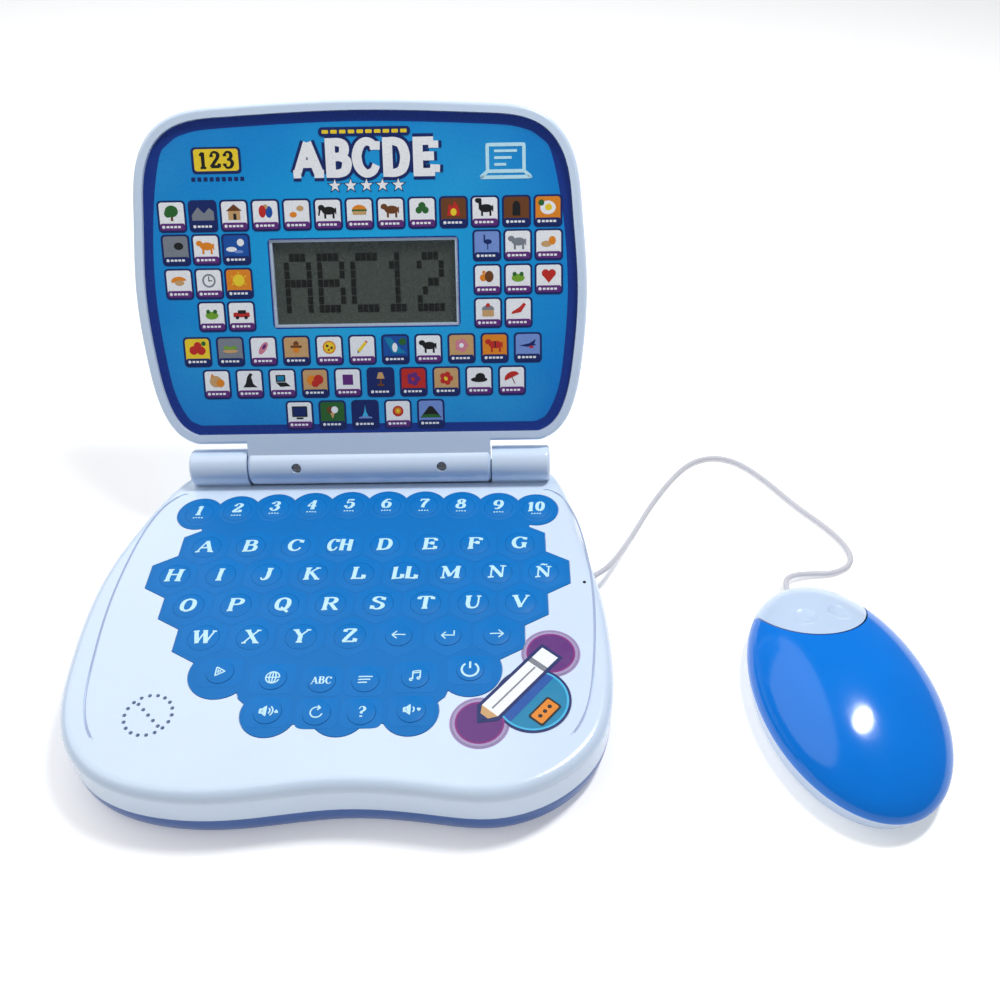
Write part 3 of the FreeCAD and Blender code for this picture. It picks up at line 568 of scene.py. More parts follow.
# Each sign is its advance and its pen strokes. A stroke going down is thick, any other is thin.
SIGNS = {
    "A": (6.8, [[(0.7, 0), (3.4, 7)], [(3.3, 7), (5.9, 0)], [(1.5, 2.3), (4.7, 2.3)], serif(0.7, 0, 0.9),
        serif(5.9, 0)]),
    "B": (6.4, stem(1.6) + [[(1.6, 7), (3.6, 7), (4.7, 6.4), (4.9, 5.2), (4.4, 4.1), (3.2, 3.7), (1.6, 3.7)],
        [(1.6, 3.7), (3.8, 3.7), (5.2, 3.0), (5.4, 1.8), (4.8, 0.5), (3.4, 0), (1.6, 0)]]),
    "C": (6.4, [[(5.4, 5.4), (4.8, 6.6), (3.4, 7.1), (2.0, 6.3), (1.2, 4.6), (1.1, 3.0), (1.7, 1.1),
        (3.2, -0.1), (4.8, 0.4), (5.6, 1.8)], [(5.5, 7.1), (5.4, 5.2)]]),
    "D": (6.8, stem(1.6) + [[(1.6, 7), (3.4, 7), (5.0, 6.1), (5.7, 3.5), (5.0, 0.9), (3.4, 0), (1.6, 0)]]),
    "E": (6.2, stem(1.6) + [[(1.6, 7), (5.3, 7)], [(5.3, 7), (5.3, 5.4)], [(1.6, 3.6), (4.2, 3.6)],
        [(4.2, 4.6), (4.2, 2.6)], [(1.6, 0), (5.5, 0)], [(5.6, 1.7), (5.5, 0)]]),
    "F": (6.0, stem(1.6) + [[(1.6, 7), (5.3, 7)], [(5.3, 7), (5.3, 5.4)], [(1.6, 3.6), (4.2, 3.6)],
        [(4.2, 4.6), (4.2, 2.6)]]),
    "G": (6.8, [[(5.4, 5.6), (4.8, 6.6), (3.4, 7.1), (1.9, 6.2), (1.1, 4.4), (1.2, 2.4), (2.1, 0.6),
        (3.6, -0.1), (5.0, 0.4)], [(5.3, 3.0), (5.3, 0.2)], serif(5.3, 3.0, 1.1), [(5.5, 7.1), (5.4, 5.4)]]),
    "H": (7.2, stem(1.5) + stem(5.7) + [[(1.5, 3.6), (5.7, 3.6)]]),
    "I": (4.0, stem(2.0)),
    "J": (5.0, [[(3.5, 7), (3.5, 4.4), (3.5, 2.0), (2.8, 0.4), (1.5, 0.0), (0.8, 1.2)], serif(3.5, 7)]),
    "K": (6.8, stem(1.5) + [[(1.7, 2.9), (5.2, 7)], [(2.7, 4.2), (5.7, 0)], serif(5.2, 7, 0.9),
        serif(5.7, 0, 1.0)]),
    "L": (6.0, stem(1.6) + [[(1.6, 0), (5.3, 0)], [(5.4, 2.2), (5.3, 0)]]),
    "M": (8.0, [[(1.2, 0), (1.2, 7)], [(1.2, 7), (3.9, 0.6)], [(3.9, 0.6), (6.6, 7)], [(6.6, 7), (6.6, 0)],
        serif(1.2, 0, 0.9), serif(6.6, 0), serif(0.9, 7, 0.8), serif(6.9, 7, 0.8)]),
    "N": (6.8, PEN_N),
    "Ñ": (6.8, PEN_N + [[(2.0, 8.2), (2.8, 8.9), (3.9, 8.3), (4.8, 8.9)]]),
    "O": (6.8, BOWL_O),
    "P": (6.2, stem(1.6) + BOWL_P),
    "Q": (6.8, BOWL_O + [[(3.0, 1.3), (4.4, 0.2), (6.0, -1.1)]]),
    "R": (6.8, stem(1.6) + BOWL_P + [[(3.5, 3.4), (5.8, 0)], serif(5.9, 0, 0.8)]),
    "S": (6.2, [[(4.9, 5.4), (4.3, 6.7), (3.0, 7.1), (1.7, 6.4), (1.6, 5.1), (3.0, 3.9), (4.7, 2.9),
        (5.1, 1.4), (4.0, 0.1), (2.4, 0), (1.2, 1.5)], [(5.1, 7.0), (4.9, 5.2)], [(1.3, 1.8), (1.1, 0)]]),
    "T": (6.4, stem(3.2) + [[(0.7, 7), (5.7, 7)], [(0.7, 7), (0.6, 5.4)], [(5.7, 7), (5.8, 5.4)]]),
    "U": (7.0, [[(1.6, 7), (1.6, 4.4), (1.6, 2.2), (2.3, 0.4), (3.7, -0.1), (5.0, 0.6), (5.5, 2.4),
        (5.5, 4.6), (5.5, 7)], serif(1.6, 7), serif(5.5, 7, 0.9)]),
    "V": (6.8, [[(1.1, 7), (3.5, 0)], [(3.5, 0), (5.8, 7)], serif(1.1, 7), serif(5.8, 7, 0.8)]),
    "W": (8.8, [[(1.1, 7), (2.9, 0)], [(2.9, 0), (4.6, 6.8)], [(4.6, 6.8), (6.2, 0)], [(6.2, 0), (7.9, 7)],
        serif(1.1, 7), serif(4.5, 7, 0.9), serif(7.9, 7, 0.8)]),
    "X": (6.8, [[(1.3, 7), (5.5, 0)], [(1.1, 0), (5.4, 7)], serif(1.3, 7), serif(5.5, 0), serif(1.1, 0, 0.8),
        serif(5.4, 7, 0.8)]),
    "Y": (6.8, [[(1.1, 7), (3.4, 3.3)], [(3.4, 3.3), (5.8, 7)], serif(1.1, 7), serif(5.8, 7, 0.8),
        [(3.4, 3.6), (3.4, 0)], serif(3.4, 0)]),
    "Z": (6.4, [[(1.3, 7), (5.3, 7)], [(5.1, 7), (1.3, 0)], [(1.1, 0), (5.4, 0)], [(1.3, 7), (1.2, 5.5)],
        [(5.6, 1.7), (5.5, 0)]]),
    "0": (5.6, [[(2.8, 7.1), (1.5, 6.0), (1.0, 3.5), (1.5, 1.0), (2.8, -0.1)],
        [(2.8, 7.1), (4.1, 6.0), (4.6, 3.5), (4.1, 1.0), (2.8, -0.1)]]),
    "1": (4.6, [[(2.4, 7), (2.4, 0)], [(0.9, 5.6), (2.2, 7)], serif(2.4, 0, 1.4)]),
    "2": (6.2, [[(1.4, 5.2), (2.0, 6.7), (3.4, 7.1), (4.7, 6.2), (4.5, 4.6), (3.0, 2.6), (1.2, 0.3)],
        [(1.2, 0.3), (5.1, 0.3)], [(1.2, 0.7), (4.9, 0.7)], [(5.2, 1.9), (5.1, 0.2)],
        [(1.6, 5.9), (1.6, 4.9)]]),
    "3": (6.0, [[(1.4, 5.8), (2.4, 7.0), (4.0, 6.8), (4.6, 5.4), (3.8, 4.0), (2.6, 3.7)],
        [(2.6, 3.7), (4.4, 3.3), (5.0, 1.8), (4.0, 0.2), (2.2, 0), (1.2, 1.2)], [(1.5, 6.2), (1.5, 5.2)],
        [(1.4, 1.9), (1.3, 0.8)]]),
    "4": (6.2, [[(0.8, 2.2), (3.8, 7)], [(0.8, 2.2), (5.6, 2.2)], [(3.9, 7), (3.9, 0)], serif(3.9, 0)]),
    "5": (6.0, [[(4.9, 6.9), (1.8, 6.9)], [(1.6, 3.8), (1.8, 7)], [(1.6, 3.8), (3.2, 4.5), (4.8, 3.6),
        (5.0, 1.8), (3.8, 0.1), (2.0, 0.1), (1.2, 1.2)], [(4.9, 6.5), (1.9, 6.5)],
        [(1.4, 1.9), (1.3, 0.8)]]),
    "6": (6.2, PEN_6),
    "7": (6.0, [[(1.0, 5.3), (1.2, 7)], [(1.2, 6.8), (5.2, 6.8)], [(1.2, 6.4), (5.0, 6.4)],
        [(5.2, 7), (3.8, 4.2), (3.0, 2.0), (2.8, 0)]]),
    "8": (6.2, [[(3.1, 7.1), (1.8, 6.3), (1.9, 4.6), (3.1, 3.7)], [(3.1, 7.1), (4.4, 6.3), (4.3, 4.6),
        (3.1, 3.7)], [(3.1, 3.7), (1.4, 2.8), (1.4, 0.8), (3.1, -0.1)], [(3.1, 3.7), (4.8, 2.8), (4.8, 0.8),
        (3.1, -0.1)]]),
    "9": (6.2, [[(6.2 - x, CAP - y) for x, y in reversed(line)] for line in PEN_6]),
    "?": (5.0, [[(1.1, 5.4), (1.8, 6.8), (3.2, 7.0), (4.3, 5.8), (3.9, 4.4), (2.7, 3.4), (2.5, 2.2)],
        [(2.5, 0.9), (2.5, 0)]]),
}


def write(sheet, text, x, y, height, ink_name, slant=0.0, thick=1.65, thin=0.6, widest=None, layer=2,
          grow=0.0, stretch=1.0):
    """Pen-drawn signs centred on x, y: thick and thin in the pen's units, grow in millimetres."""
    scale = height / CAP
    gap = 0.35
    width = sum(SIGNS[c][0] + gap for c in text) - gap
    squeeze = min(stretch, widest / (width * scale)) if widest else stretch
    start = -width / 2
    for sign in text:
        advance, strokes = SIGNS[sign]
        for pen in strokes:
            line = smooth_line(pen) if len(pen) > 2 else pen
            places = [((start + px + (py - CAP / 2) * slant) * scale * squeeze, (py - CAP / 2) * scale)
                      for px, py in line]
            places = divided(places)
            widths = []
            last = len(places) - 1
            for i in range(len(places)):
                run = Vector(places[min(i + 1, last)]) - Vector(places[max(i - 1, 0)])
                down = max(0.0, -run.normalized().y)
                widths.append((thin + (thick - thin) * down ** 1.5) * scale + grow)
            sheet.ribbon(moved(places, x, y), widths, layer, ink_name)
        start += advance + gap


# ---------------------------------------------------------------- keyboard
def digit_places():
    return [((i - 4.5) * 17.3, 59.4 - 3.4 * ((i - 4.5) / 4.5) ** 2) for i in range(10)]


def letter_places():
    places = []
    for row, count in enumerate((8, 9, 8, 4)):
        first = -(count - 1) / 2 if row < 3 else -3.0
        places += [((first + i) * KEY_PITCH, ROW_TOP - row * ROW_STEP) for i in range(count)]
    return places


LETTERS = ["A", "B", "C", "CH", "D", "E", "F", "G", "H", "I", "J", "K", "L", "LL", "M", "N", "Ñ",
           "O", "P", "Q", "R", "S", "T", "U", "V", "W", "X", "Y", "Z"]
ROW_5_Y = ROW_TOP - 3 * ROW_STEP

# Function keys: place, and half width and half height of the film's field round each.
FUNCTION_KEYS = {
    "arrow_left": (20, ROW_5_Y, None), "enter": (40, ROW_5_Y, None), "arrow_right": (60, ROW_5_Y, None),
    "demo": (-49.5, -35.6, (9.0, 7.0)), "language": (-28, -38.8, (9.2, 7.4)),
    "letters": (-8.6, -40.4, (8.1, 7.3)), "words": (8.6, -40.4, (8.1, 7.3)),
    "music": (28, -38.8, (9.2, 7.4)), "power": (49.5, -35.6, (9.0, 7.0)),
    "volume_up": (-27.5, -54.6, (8.9, 7.0)), "repeat": (-8.6, -55.4, (8.1, 6.9)),
    "answer": (8.6, -55.4, (8.1, 6.9)), "volume_down": (27.5, -54.6, (8.9, 7.0)),
}


def hexagon_reach(angle):
    half = KEY_PITCH / 2 - 0.45
    wrapped = (math.degrees(angle) + 30) % 60 - 30
    return min(half / math.cos(math.radians(wrapped)), half * 1.12)


def round_reach(radius):
    return lambda angle: radius


def box_reach(half_x, half_y):
    power = 5
    return lambda angle: (abs(math.cos(angle) / half_x) ** power
                          + abs(math.sin(angle) / half_y) ** power) ** (-1 / power)


def film_cell(points, faces, x, y, key_r, reach):
    """One raised field of the film, rising gently to the edge of its key."""
    count = 48
    rings = [(reach, FILM_TOP - 0.05), (lambda a: reach(a) - 0.06, FILM_TOP + 0.05),
             (lambda a: reach(a) - 0.5, FILM_TOP + 0.10),
             (lambda a: min(reach(a) - 0.8, key_r + 0.9), FILM_TOP + 0.20),
             (lambda a: key_r + 0.1, FILM_TOP + 0.30), (lambda a: key_r + 0.1, FILM_TOP - 0.05)]
    first = len(points)
    for reach_at, height in rings:
        for k in range(count):
            angle = 2 * math.pi * k / count
            points.append(on_deck(x + reach_at(angle) * math.cos(angle),
                                  y + reach_at(angle) * math.sin(angle),
                                  height))
    for ring in range(len(rings)):
        inner = (ring + 1) % len(rings)
        for k in range(count):
            beside = (k + 1) % count
            faces.append((first + ring * count + k, first + ring * count + beside,
                          first + inner * count + beside, first + inner * count + k))


def make_film_cells():
    points = []
    faces = []
    for x, y in digit_places():
        film_cell(points, faces, x, y, KEY_R, round_reach(8.35))
    for x, y in letter_places():
        film_cell(points, faces, x, y, KEY_R, hexagon_reach)
    for x, y, field in FUNCTION_KEYS.values():
        film_cell(points, faces, x, y, FUNCTION_KEY_R, box_reach(*field) if field else hexagon_reach)
    cells = new_object("film_cells", points, faces, materials=[SLOT_MATERIALS["key_caps"]])
    shade_smooth(cells, 50)
    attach(cells, "base")


def on_key(key_x, key_y):
    """Surface of one domed key top."""
    def surface(x, y, height):
        away = min(math.hypot(x - key_x, y - key_y), KEY_DOME_R * 0.5)
        drop = KEY_DOME_R - math.sqrt(KEY_DOME_R ** 2 - away ** 2)
        return on_deck(x, y, KEY_TOP - drop + height)
    return surface


SPEAKER = [[(-2.9, 0.9), (-1.9, 0.9), (-0.5, 2.2), (-0.5, -2.2), (-1.9, -0.9), (-2.9, -0.9), (-2.9, 0.9)],
           [(-2.3, 0.7), (-2.3, -0.7)], [(-1.5, 1.0), (-1.5, -1.0)], [(-0.9, 1.5), (-0.9, -1.5)]]

# Icons of the function keys, as pen lines about the key's centre.
ICONS = {
    "arrow_left": [[(2.8, 0), (-2.6, 0)], [(-0.7, 1.9), (-2.7, 0), (-0.7, -1.9)]],
    "enter": [[(2.6, 2.0), (2.6, -0.6), (-2.4, -0.6)], [(-0.8, 1.1), (-2.5, -0.6), (-0.8, -2.3)]],
    "arrow_right": [[(-2.8, 0), (2.6, 0)], [(0.7, 1.9), (2.7, 0), (0.7, -1.9)]],
    "demo": [[(-1.5, 2.1), (2.1, 0), (-1.5, -2.1), (-1.5, 2.1)], [(-0.6, 0.9), (-0.6, -0.9)],
        [(0.2, 0.5), (0.2, -0.5)]],
    "language": [arc_line(0, 0, 2.7, 0, 360), [(-2.7, 0), (2.7, 0)], [(0, 2.7), (0, -2.7)],
        disc(0, 0, 1.3, 2.7, 90, 270), disc(0, 0, 1.3, 2.7, -90, 90)],
    "words": [[(-2.8, 1.5), (2.8, 1.5)], [(-2.8, 0.1), (2.0, 0.1)], [(-2.8, -1.3), (0.8, -1.3)]],
    "music": [[(-0.9, -1.6), (-0.9, 2.2), (2.0, 2.6), (2.0, -1.0)], arc_line(-1.5, -1.7, 0.5, 0, 360),
        arc_line(1.4, -1.1, 0.5, 0, 360), [(-0.9, 1.3), (2.0, 1.7)]],
    "power": [arc_line(0, -0.2, 3.3, 125, 415), [(0, 3.6), (0, 0.2)]],
    "volume_up": SPEAKER + [arc_line(-0.4, 0, 1.5, -50, 50), arc_line(-0.4, 0, 2.6, -50, 50),
        [(2.9, -0.6), (3.5, 0.4), (4.1, -0.6), (2.9, -0.6)]],
    "repeat": [arc_line(0, 0, 2.3, 60, 345), [(0.3, 3.1), (1.4, 2.0), (0.2, 1.0)]],
    "volume_down": SPEAKER + [arc_line(-0.4, 0, 1.5, -50, 50), [(2.3, 0.5), (2.9, -0.5), (3.5, 0.5),
        (2.3, 0.5)]],
}


def make_legends():
    for number, (x, y) in enumerate(digit_places(), start=1):
        sheet = Print(on_key(x, y), 0)
        write(sheet, str(number), x, y + 1.3, 5.9, "legend", slant=0.12, thick=1.9, thin=0.8, widest=8.2)
        for k in range(4):
            sheet.stroke([(x - 2.3 + 1.25 * k, y - 3.5), (x - 1.5 + 1.25 * k, y - 3.5)], 0.55, 2, "legend")
        sheet.make("legend_digit_" + str(number), "key_digit_" + str(number))
    for name, (x, y, field) in FUNCTION_KEYS.items():
        sheet = Print(on_key(x, y), 0)
        if name == "letters":
            write(sheet, "ABC", x, y, 3.2, "legend", widest=8.0)
        elif name == "answer":
            write(sheet, "?", x, y, 4.6, "legend")
        else:
            pen = 0.85 if name == "power" else 0.55
            for line in ICONS[name]:
                sheet.stroke(moved(line, x, y), pen, 2, "legend")
        sheet.make("legend_" + name, "key_" + name)
    letters = Print(on_deck, 0)
    for text, (x, y) in zip(LETTERS, letter_places()):
        letters.surface = on_key(x, y)
        tall = 5.8 if text == "Ñ" else 6.4
        low = 0.5 if text == "Ñ" else 0.0
        write(letters, text, x, y - low, tall, "legend", slant=0.08, thick=2.0, thin=0.8, stretch=1.2,
              widest=11.4 if len(text) > 1 else None)
    letters.make("legend_letters_fixed", "letter_keys")


make_film_cells()
make_legends()


# ---------------------------------------------------------------- lid art
LID_RIGHT = [(80, 12), (89.5, 17.5), (96.5, 31), (100, 50), (102, 82), (99.6, 116), (93.8, 143.5), (86, 153),
             (76, 158), (58, 160.4)]


FIELD_INSET = 8.8            # blue field, inside the lid's outline
OPENING_HALF = (42.8, 20.0)  # the field's opening round the display


def lid_outline(inwards):
    """The lid's outline moved inwards, anticlockwise from the foot."""
    left = [(-x, y) for x, y in reversed(LID_RIGHT)]
    side = smooth_line(LID_RIGHT + [(0, 162.4)] + left)
    points = []
    for i, (x, y) in enumerate(side):
        before = side[max(i - 1, 0)]
        after = side[min(i + 1, len(side) - 1)]
        run = Vector((after[0] - before[0], after[1] - before[1])).normalized()
        points.append((x - run.y * inwards, max(y + run.x * inwards, 12 + inwards)))
    return points


def cards_in_row(y, first, last, count):
    return [(first + (last - first) * k / (count - 1), y) for k in range(count)]


SIDE_CARDS = [-82.2, -68.6, -55.1, 57.1, 70.9, 84.7]
CARD_ROWS = [
    cards_in_row(115.0, -82.6, 84.4, 13),
    [(x, 100.5) for x in SIDE_CARDS],
    [(x, 85.6) for x in SIDE_CARDS],
    [(x, 70.9) for x in SIDE_CARDS if -75 < x < 75],
    cards_in_row(55.0, -76.7, 75.0, 11),
    cards_in_row(40.0, -69.0, 67.6, 10),
    cards_in_row(25.0, -31.6, 29.6, 5),
]


def beast(coat, tall=0.0):
    """A four-legged animal seen from its left."""
    return [(disc(0.3, 0.1, 2.3, 1.3), coat), (disc(-2.2, 1.1 + tall, 1.1, 0.9), coat),
            (slab(-1.6, 0.6 + tall / 2, 0.5, 0.7 + tall / 2), coat), (slab(-1.0, -1.6, 0.35, 1.0), coat),
            (slab(1.8, -1.6, 0.35, 1.0), coat), (slab(2.6, 0.0, 0.2, 1.0), coat)]


def petals(middle, around):
    return [(disc(1.4 * math.cos(k * 1.257), 1.4 * math.sin(k * 1.257), 1.0), around) for k in range(5)] + [
        (disc(0, 0, 0.8), middle)]


# Generic pictures of the cards, about 7 mm across.
PICTURES = {
    "tree": [(slab(0, -1.6, 0.4, 1.0), "brown"), (disc(0, 0.7, 2.2, 1.9), "green"),
        (disc(-1.2, 0.0, 1.3), "green")],
    "hills": [([(-4, -2.6), (4, -2.6), (4, 0.4), (2.2, 1.6), (0.4, -0.2), (-1.6, 1.9), (-4, -0.6)], "grey")],
    "house": [(slab(0, -0.9, 2.0, 1.5), "tan"), ([(-2.7, 0.5), (2.7, 0.5), (0, 2.7)], "brown"),
        (slab(0.2, -1.4, 0.5, 1.0), "black")],
    "parrot": [(disc(-1.0, 0.2, 1.2, 2.0), "red"), (disc(1.2, 0.0, 1.2, 1.9), "blue"),
        (disc(0.1, 1.7, 0.8), "tan")],
    "eggs": [(disc(1.2, 1.0, 1.2, 0.9), "tan"), (disc(-1.2, -1.0, 1.2, 0.9), "orange")],
    "elephant": beast("black") + [([(-3.0, 1.2), (-3.4, -1.4), (-2.9, -1.5), (-2.4, 0.6)], "black")],
    "bun": [(disc(0, 0.2, 2.4, 1.6, 0, 180), "orange"), (slab(0, 0.0, 2.5, 0.35), "green"),
        (slab(0, -0.8, 2.3, 0.6, 0.3), "tan")],
    "cow": beast("brown"),
    "dog": beast("black"),
    "goat": beast("grey"),
    "pony": beast("orange"),
    "clover": [(disc(-1.1, -0.2, 1.1), "green"), (disc(1.1, -0.2, 1.1), "green"),
        (disc(0, 1.2, 1.2), "green")],
    "giraffe": beast("black", 1.6),
    "tiger": beast("red") + [(slab(0.2, 0.2, 0.2, 1.1), "black")],
    "flame": [([(-2.2, -2.2), (2.2, -2.2), (1.6, 0.8), (0.5, 2.6), (-0.4, 0.8), (-1.6, 1.6)], "red"),
        (disc(0, -1.0, 1.0, 1.2), "yellow")],
    "arch": [(disc(0, 0.4, 1.3, 1.9), "black"), (slab(0, -1.4, 1.3, 1.2), "black")],
    "dish": [(disc(0, 0, 2.6, 2.2), "white"), (disc(0.2, 0.1, 1.2, 1.1), "yellow"),
        (disc(-2.2, 1.6, 1.0), "green")],
    "cloud": [(disc(-1.0, 0, 1.4, 1.0), "grey"), (disc(1.0, 0.3, 1.6, 1.2), "black")],
    "moon": [(disc(1.6, 1.2, 1.2), "white"), (disc(-1.6, -1.0, 1.8, 0.8), "white"),
        (disc(0.8, -1.8, 1.6, 0.5), "sky")],
    "crescent": [(disc(0, 0, 2.6, 1.5, 10, 200), "orange"), (disc(0.2, -0.6, 1.6, 0.9), "tan")],
    "clock": [(disc(0, 0, 2.3), "grey"), (disc(0, 0, 1.7), "white"), (slab(0, 0.6, 0.16, 0.9), "black"),
        (slab(0.5, 0, 0.6, 0.16), "black")],
    "sun": [(disc(0, 0, 2.0), "yellow")] + [(turned([(-0.3, 2.3), (0.3, 2.3), (0, 3.1)], 60 * k),
        "yellow") for k in range(6)],
    "heart": [(disc(-1.1, 0.8, 1.3), "red"), (disc(1.1, 0.8, 1.3), "red"),
        ([(-2.2, 0.2), (0, -2.6), (2.2, 0.2)], "red")],
    "frog": [(disc(0, -0.6, 2.2, 1.3), "lime"), (disc(-1.2, 0.7, 0.7), "green"),
        (disc(1.2, 0.7, 0.7), "green")],
    "car": [(slab(0, -0.5, 2.8, 0.8, 0.4), "red"), (slab(0.2, 0.5, 1.4, 0.6, 0.3), "black"),
        (disc(-1.5, -1.4, 0.6), "black"), (disc(1.5, -1.4, 0.6), "black")],
    "heron": [(disc(0.4, 0.2, 1.3, 0.8), "navy"), (slab(-0.8, 1.2, 0.25, 1.3), "navy"),
        (slab(0.3, -1.7, 0.15, 1.2), "navy")],
    "shells": [(disc(-0.8, -0.8, 1.8, 1.0), "tan"), (disc(1.2, 0.3, 1.2, 1.4), "orange")],
    "fox": [(disc(0.6, 0, 1.5, 1.9), "brown"), (disc(-1.4, -0.4, 1.2, 1.2), "orange"),
        (disc(-1.2, 1.4, 0.6), "orange")],
    "cake": [(slab(0, -1.2, 2.0, 1.1, 0.3), "tan"), (disc(0, 0.2, 2.1, 1.3), "grey"),
        (disc(0, 1.5, 0.7), "red")],
    "pepper": [([(-2.4, -1.6), (0.8, -1.0), (2.6, 1.6), (1.8, 2.2), (0.2, 0.6), (-2.2, -0.8)], "red")],
    "berries": [(disc(-1.3, -0.4, 1.5), "red"), (disc(1.3, -0.5, 1.5), "red"), (disc(0.2, 1.2, 1.3), "red"),
        (disc(2.3, 1.9, 0.8), "green")],
    "tortoise": [(disc(0, -0.2, 2.3, 1.6, 0, 180), "lime"), (disc(0, -0.9, 2.6, 0.6), "tan"),
        (disc(0, 1.2, 1.2, 0.6), "grey")],
    "bean": [(turned(disc(0, 0, 1.1, 2.5), -35), "pink"), (turned(disc(0, 0.6, 0.5, 1.0), -35), "purple")],
    "biscuit": [(disc(0, 1.4, 0.9), "brown"), (disc(0, -0.4, 1.1, 1.4), "orange"),
        (slab(0, 0.4, 2.0, 0.4, 0.3), "brown")],
    "pie": [(disc(0, 0, 2.3), "orange"), (disc(0, 0, 1.8), "yellow"), (disc(-0.7, 0.5, 0.5), "brown"),
        (disc(0.8, -0.2, 0.5), "brown"), (disc(-0.2, -0.9, 0.4), "red")],
    "pencil": [(turned(slab(0, 0, 0.5, 2.0), -40), "yellow"), (turned([(-0.5, -2), (0.5, -2), (0, -3)], -40),
        "grey"), (turned(slab(0, 2.2, 0.5, 0.4), -40), "pink")],
    "river": [([(-4, 3), (-1.5, 3), (1.0, 0), (4, -2.6), (-1.0, -2.6)], "teal"),
        (disc(-0.2, -0.4, 0.9, 1.6), "white"), (disc(2.6, 1.6, 1.4, 1.2), "green")],
    "sweets": petals("white", "pink"),
    "rose": petals("red", "purple"),
    "blossom": petals("yellow", "red"),
    "plane": [([(-3, -0.4), (0.6, 0.4), (2.8, 1.8), (2.2, 0.2), (3, -0.2), (0, -0.8)], "navy"),
        (disc(1.2, -0.9, 0.8, 0.4), "red")],
    "cat": [(disc(-0.4, 0, 2.1, 2.0), "tan"), (disc(1.2, -0.6, 1.4, 1.4), "orange"),
        ([(-2.2, 1.2), (-1.6, 2.8), (-0.8, 1.8)], "orange"), (disc(-1.0, 0.4, 0.3), "black"),
        (disc(0.3, 0.4, 0.3), "black")],
    "seal": [([(-2.4, -2.2), (2.6, -2.2), (1.2, -1.0), (0.6, 1.4), (1.2, 2.4), (0.2, 2.8), (-0.8, 1.4),
        (-1.4, -0.8)], "black")],
    "laptop": [(slab(-0.6, 0.8, 1.7, 1.2, 0.2), "black"), (slab(-0.6, 0.8, 1.2, 0.8), "teal"),
        ([(-2.4, -0.6), (1.2, -0.6), (2.8, -2.0), (-0.8, -2.2)], "black")],
    "fruit": [(disc(-1.2, 0, 1.7), "orange"), (disc(1.2, 0.2, 1.7), "red"), (disc(0, -1.2, 1.3), "red")],
    "square": [(slab(0, 0, 1.8, 1.8), "purple")],
    "lamp": [([(-1.4, 0.2), (1.4, 0.2), (0.7, 2.4), (-0.7, 2.4)], "tan"), (slab(0, -0.8, 0.3, 1.0), "brown"),
        (disc(0, -2.0, 1.3, 0.4), "brown")],
    "hat": [(disc(0, -0.6, 2.9, 0.9), "black"), (disc(0.4, 0.4, 1.7, 1.3), "black")],
    "umbrella": [(turned(disc(0, 0, 2.7, 2.0, 0, 180), 25), "red"), (turned(slab(0, -1.0, 0.15, 1.4), 25),
        "brown")],
    "screen": [(slab(0, 0.3, 2.7, 1.9, 0.2), "black"), (slab(0, 0.3, 2.3, 1.5), "navy"),
        (slab(0, -2.1, 1.2, 0.3), "black")],
    "ice": [([(-1.0, 0), (1.0, 0), (0, -2.8)], "tan"), (disc(-0.8, 0.8, 1.2), "brown"),
        (disc(0.8, 0.8, 1.2), "white")],
    "fountain": [([(-1.4, -2.4), (1.4, -2.4), (0.3, 0), (0, 2.4), (-0.3, 0)], "cyan"),
        (disc(0, -2.2, 2.4, 0.5), "sky")],
    "ring": [(disc(0, 0, 1.9), "red"), (disc(0, 0.1, 1.2), "orange"), (disc(0, 0.1, 0.6), "yellow")],
    "mountain": [([(-4, -2.6), (4, -2.6), (0.6, 1.6), (-0.6, 1.6)], "black"),
        (disc(0, -2.0, 3.4, 0.8), "green")],
}

# The cards row by row: the picture, and its ground where that isn't white.
CARDS = [
    ["tree", "hills:navy", "house", "parrot", "eggs", "elephant", "bun",
     "cow", "clover", "flame:brown", "giraffe", "arch:brown", "dish:orange"],
    ["cloud:grey", "pony", "moon:blue", "heron:sky", "goat", "shells"],
    ["crescent", "clock", "sun:orange", "fox", "frog", "heart"],
    ["frog", "car", "cake", "pepper"],
    ["berries:yellow", "tortoise:grey", "bean", "biscuit:tan", "pie", "pencil", "river:blue",
     "dog", "sweets:tan", "tiger:orange", "plane:sky"],
    ["cat", "seal", "laptop", "fruit:tan", "square", "lamp:navy", "rose:red", "blossom:tan",
     "hat", "umbrella"],
    ["screen", "ice:green", "fountain:navy", "ring", "mountain:sky"],
]


def card(sheet, x, y, picture, ground):
    """Navy frame, picture field, picture and a label strip with a few dashes."""
    sheet.plate(slab(x, y, 6.4, 6.9, 1.9), 3, "navy")
    sheet.plate(slab(x, y + 0.2, 5.5, 5.9, 1.3), 4, ground)
    for outline, ink_name in PICTURES[picture]:
        inside = [(max(-4.9, min(4.9, px * 1.32)), max(-3.2, min(4.4, py * 1.32))) for px, py in outline]
        sheet.plate(moved(inside, x, y + 1.4), 5, ink_name)
    sheet.plate(slab(x, y - 4.4, 5.5, 1.5, 0.9), 6, "purple" if ground == "white" else "navy")
    sheet.plate(disc(x - 4.0, y - 4.4, 0.7, count=10), 7, "white")
    for k in range(4):
        sheet.plate(slab(x - 2.1 + 1.7 * k, y - 4.4, 0.62, 0.45), 7, "white")


def make_cards():
    sheet = Print(on_lid, PANEL_TOP)
    for row, places in enumerate(CARD_ROWS):
        for (x, y), name in zip(places, CARDS[row]):
            picture, _, ground = name.partition(":")
            card(sheet, x, y, picture, ground or "white")
    sheet.make("lid_cards", "lid")


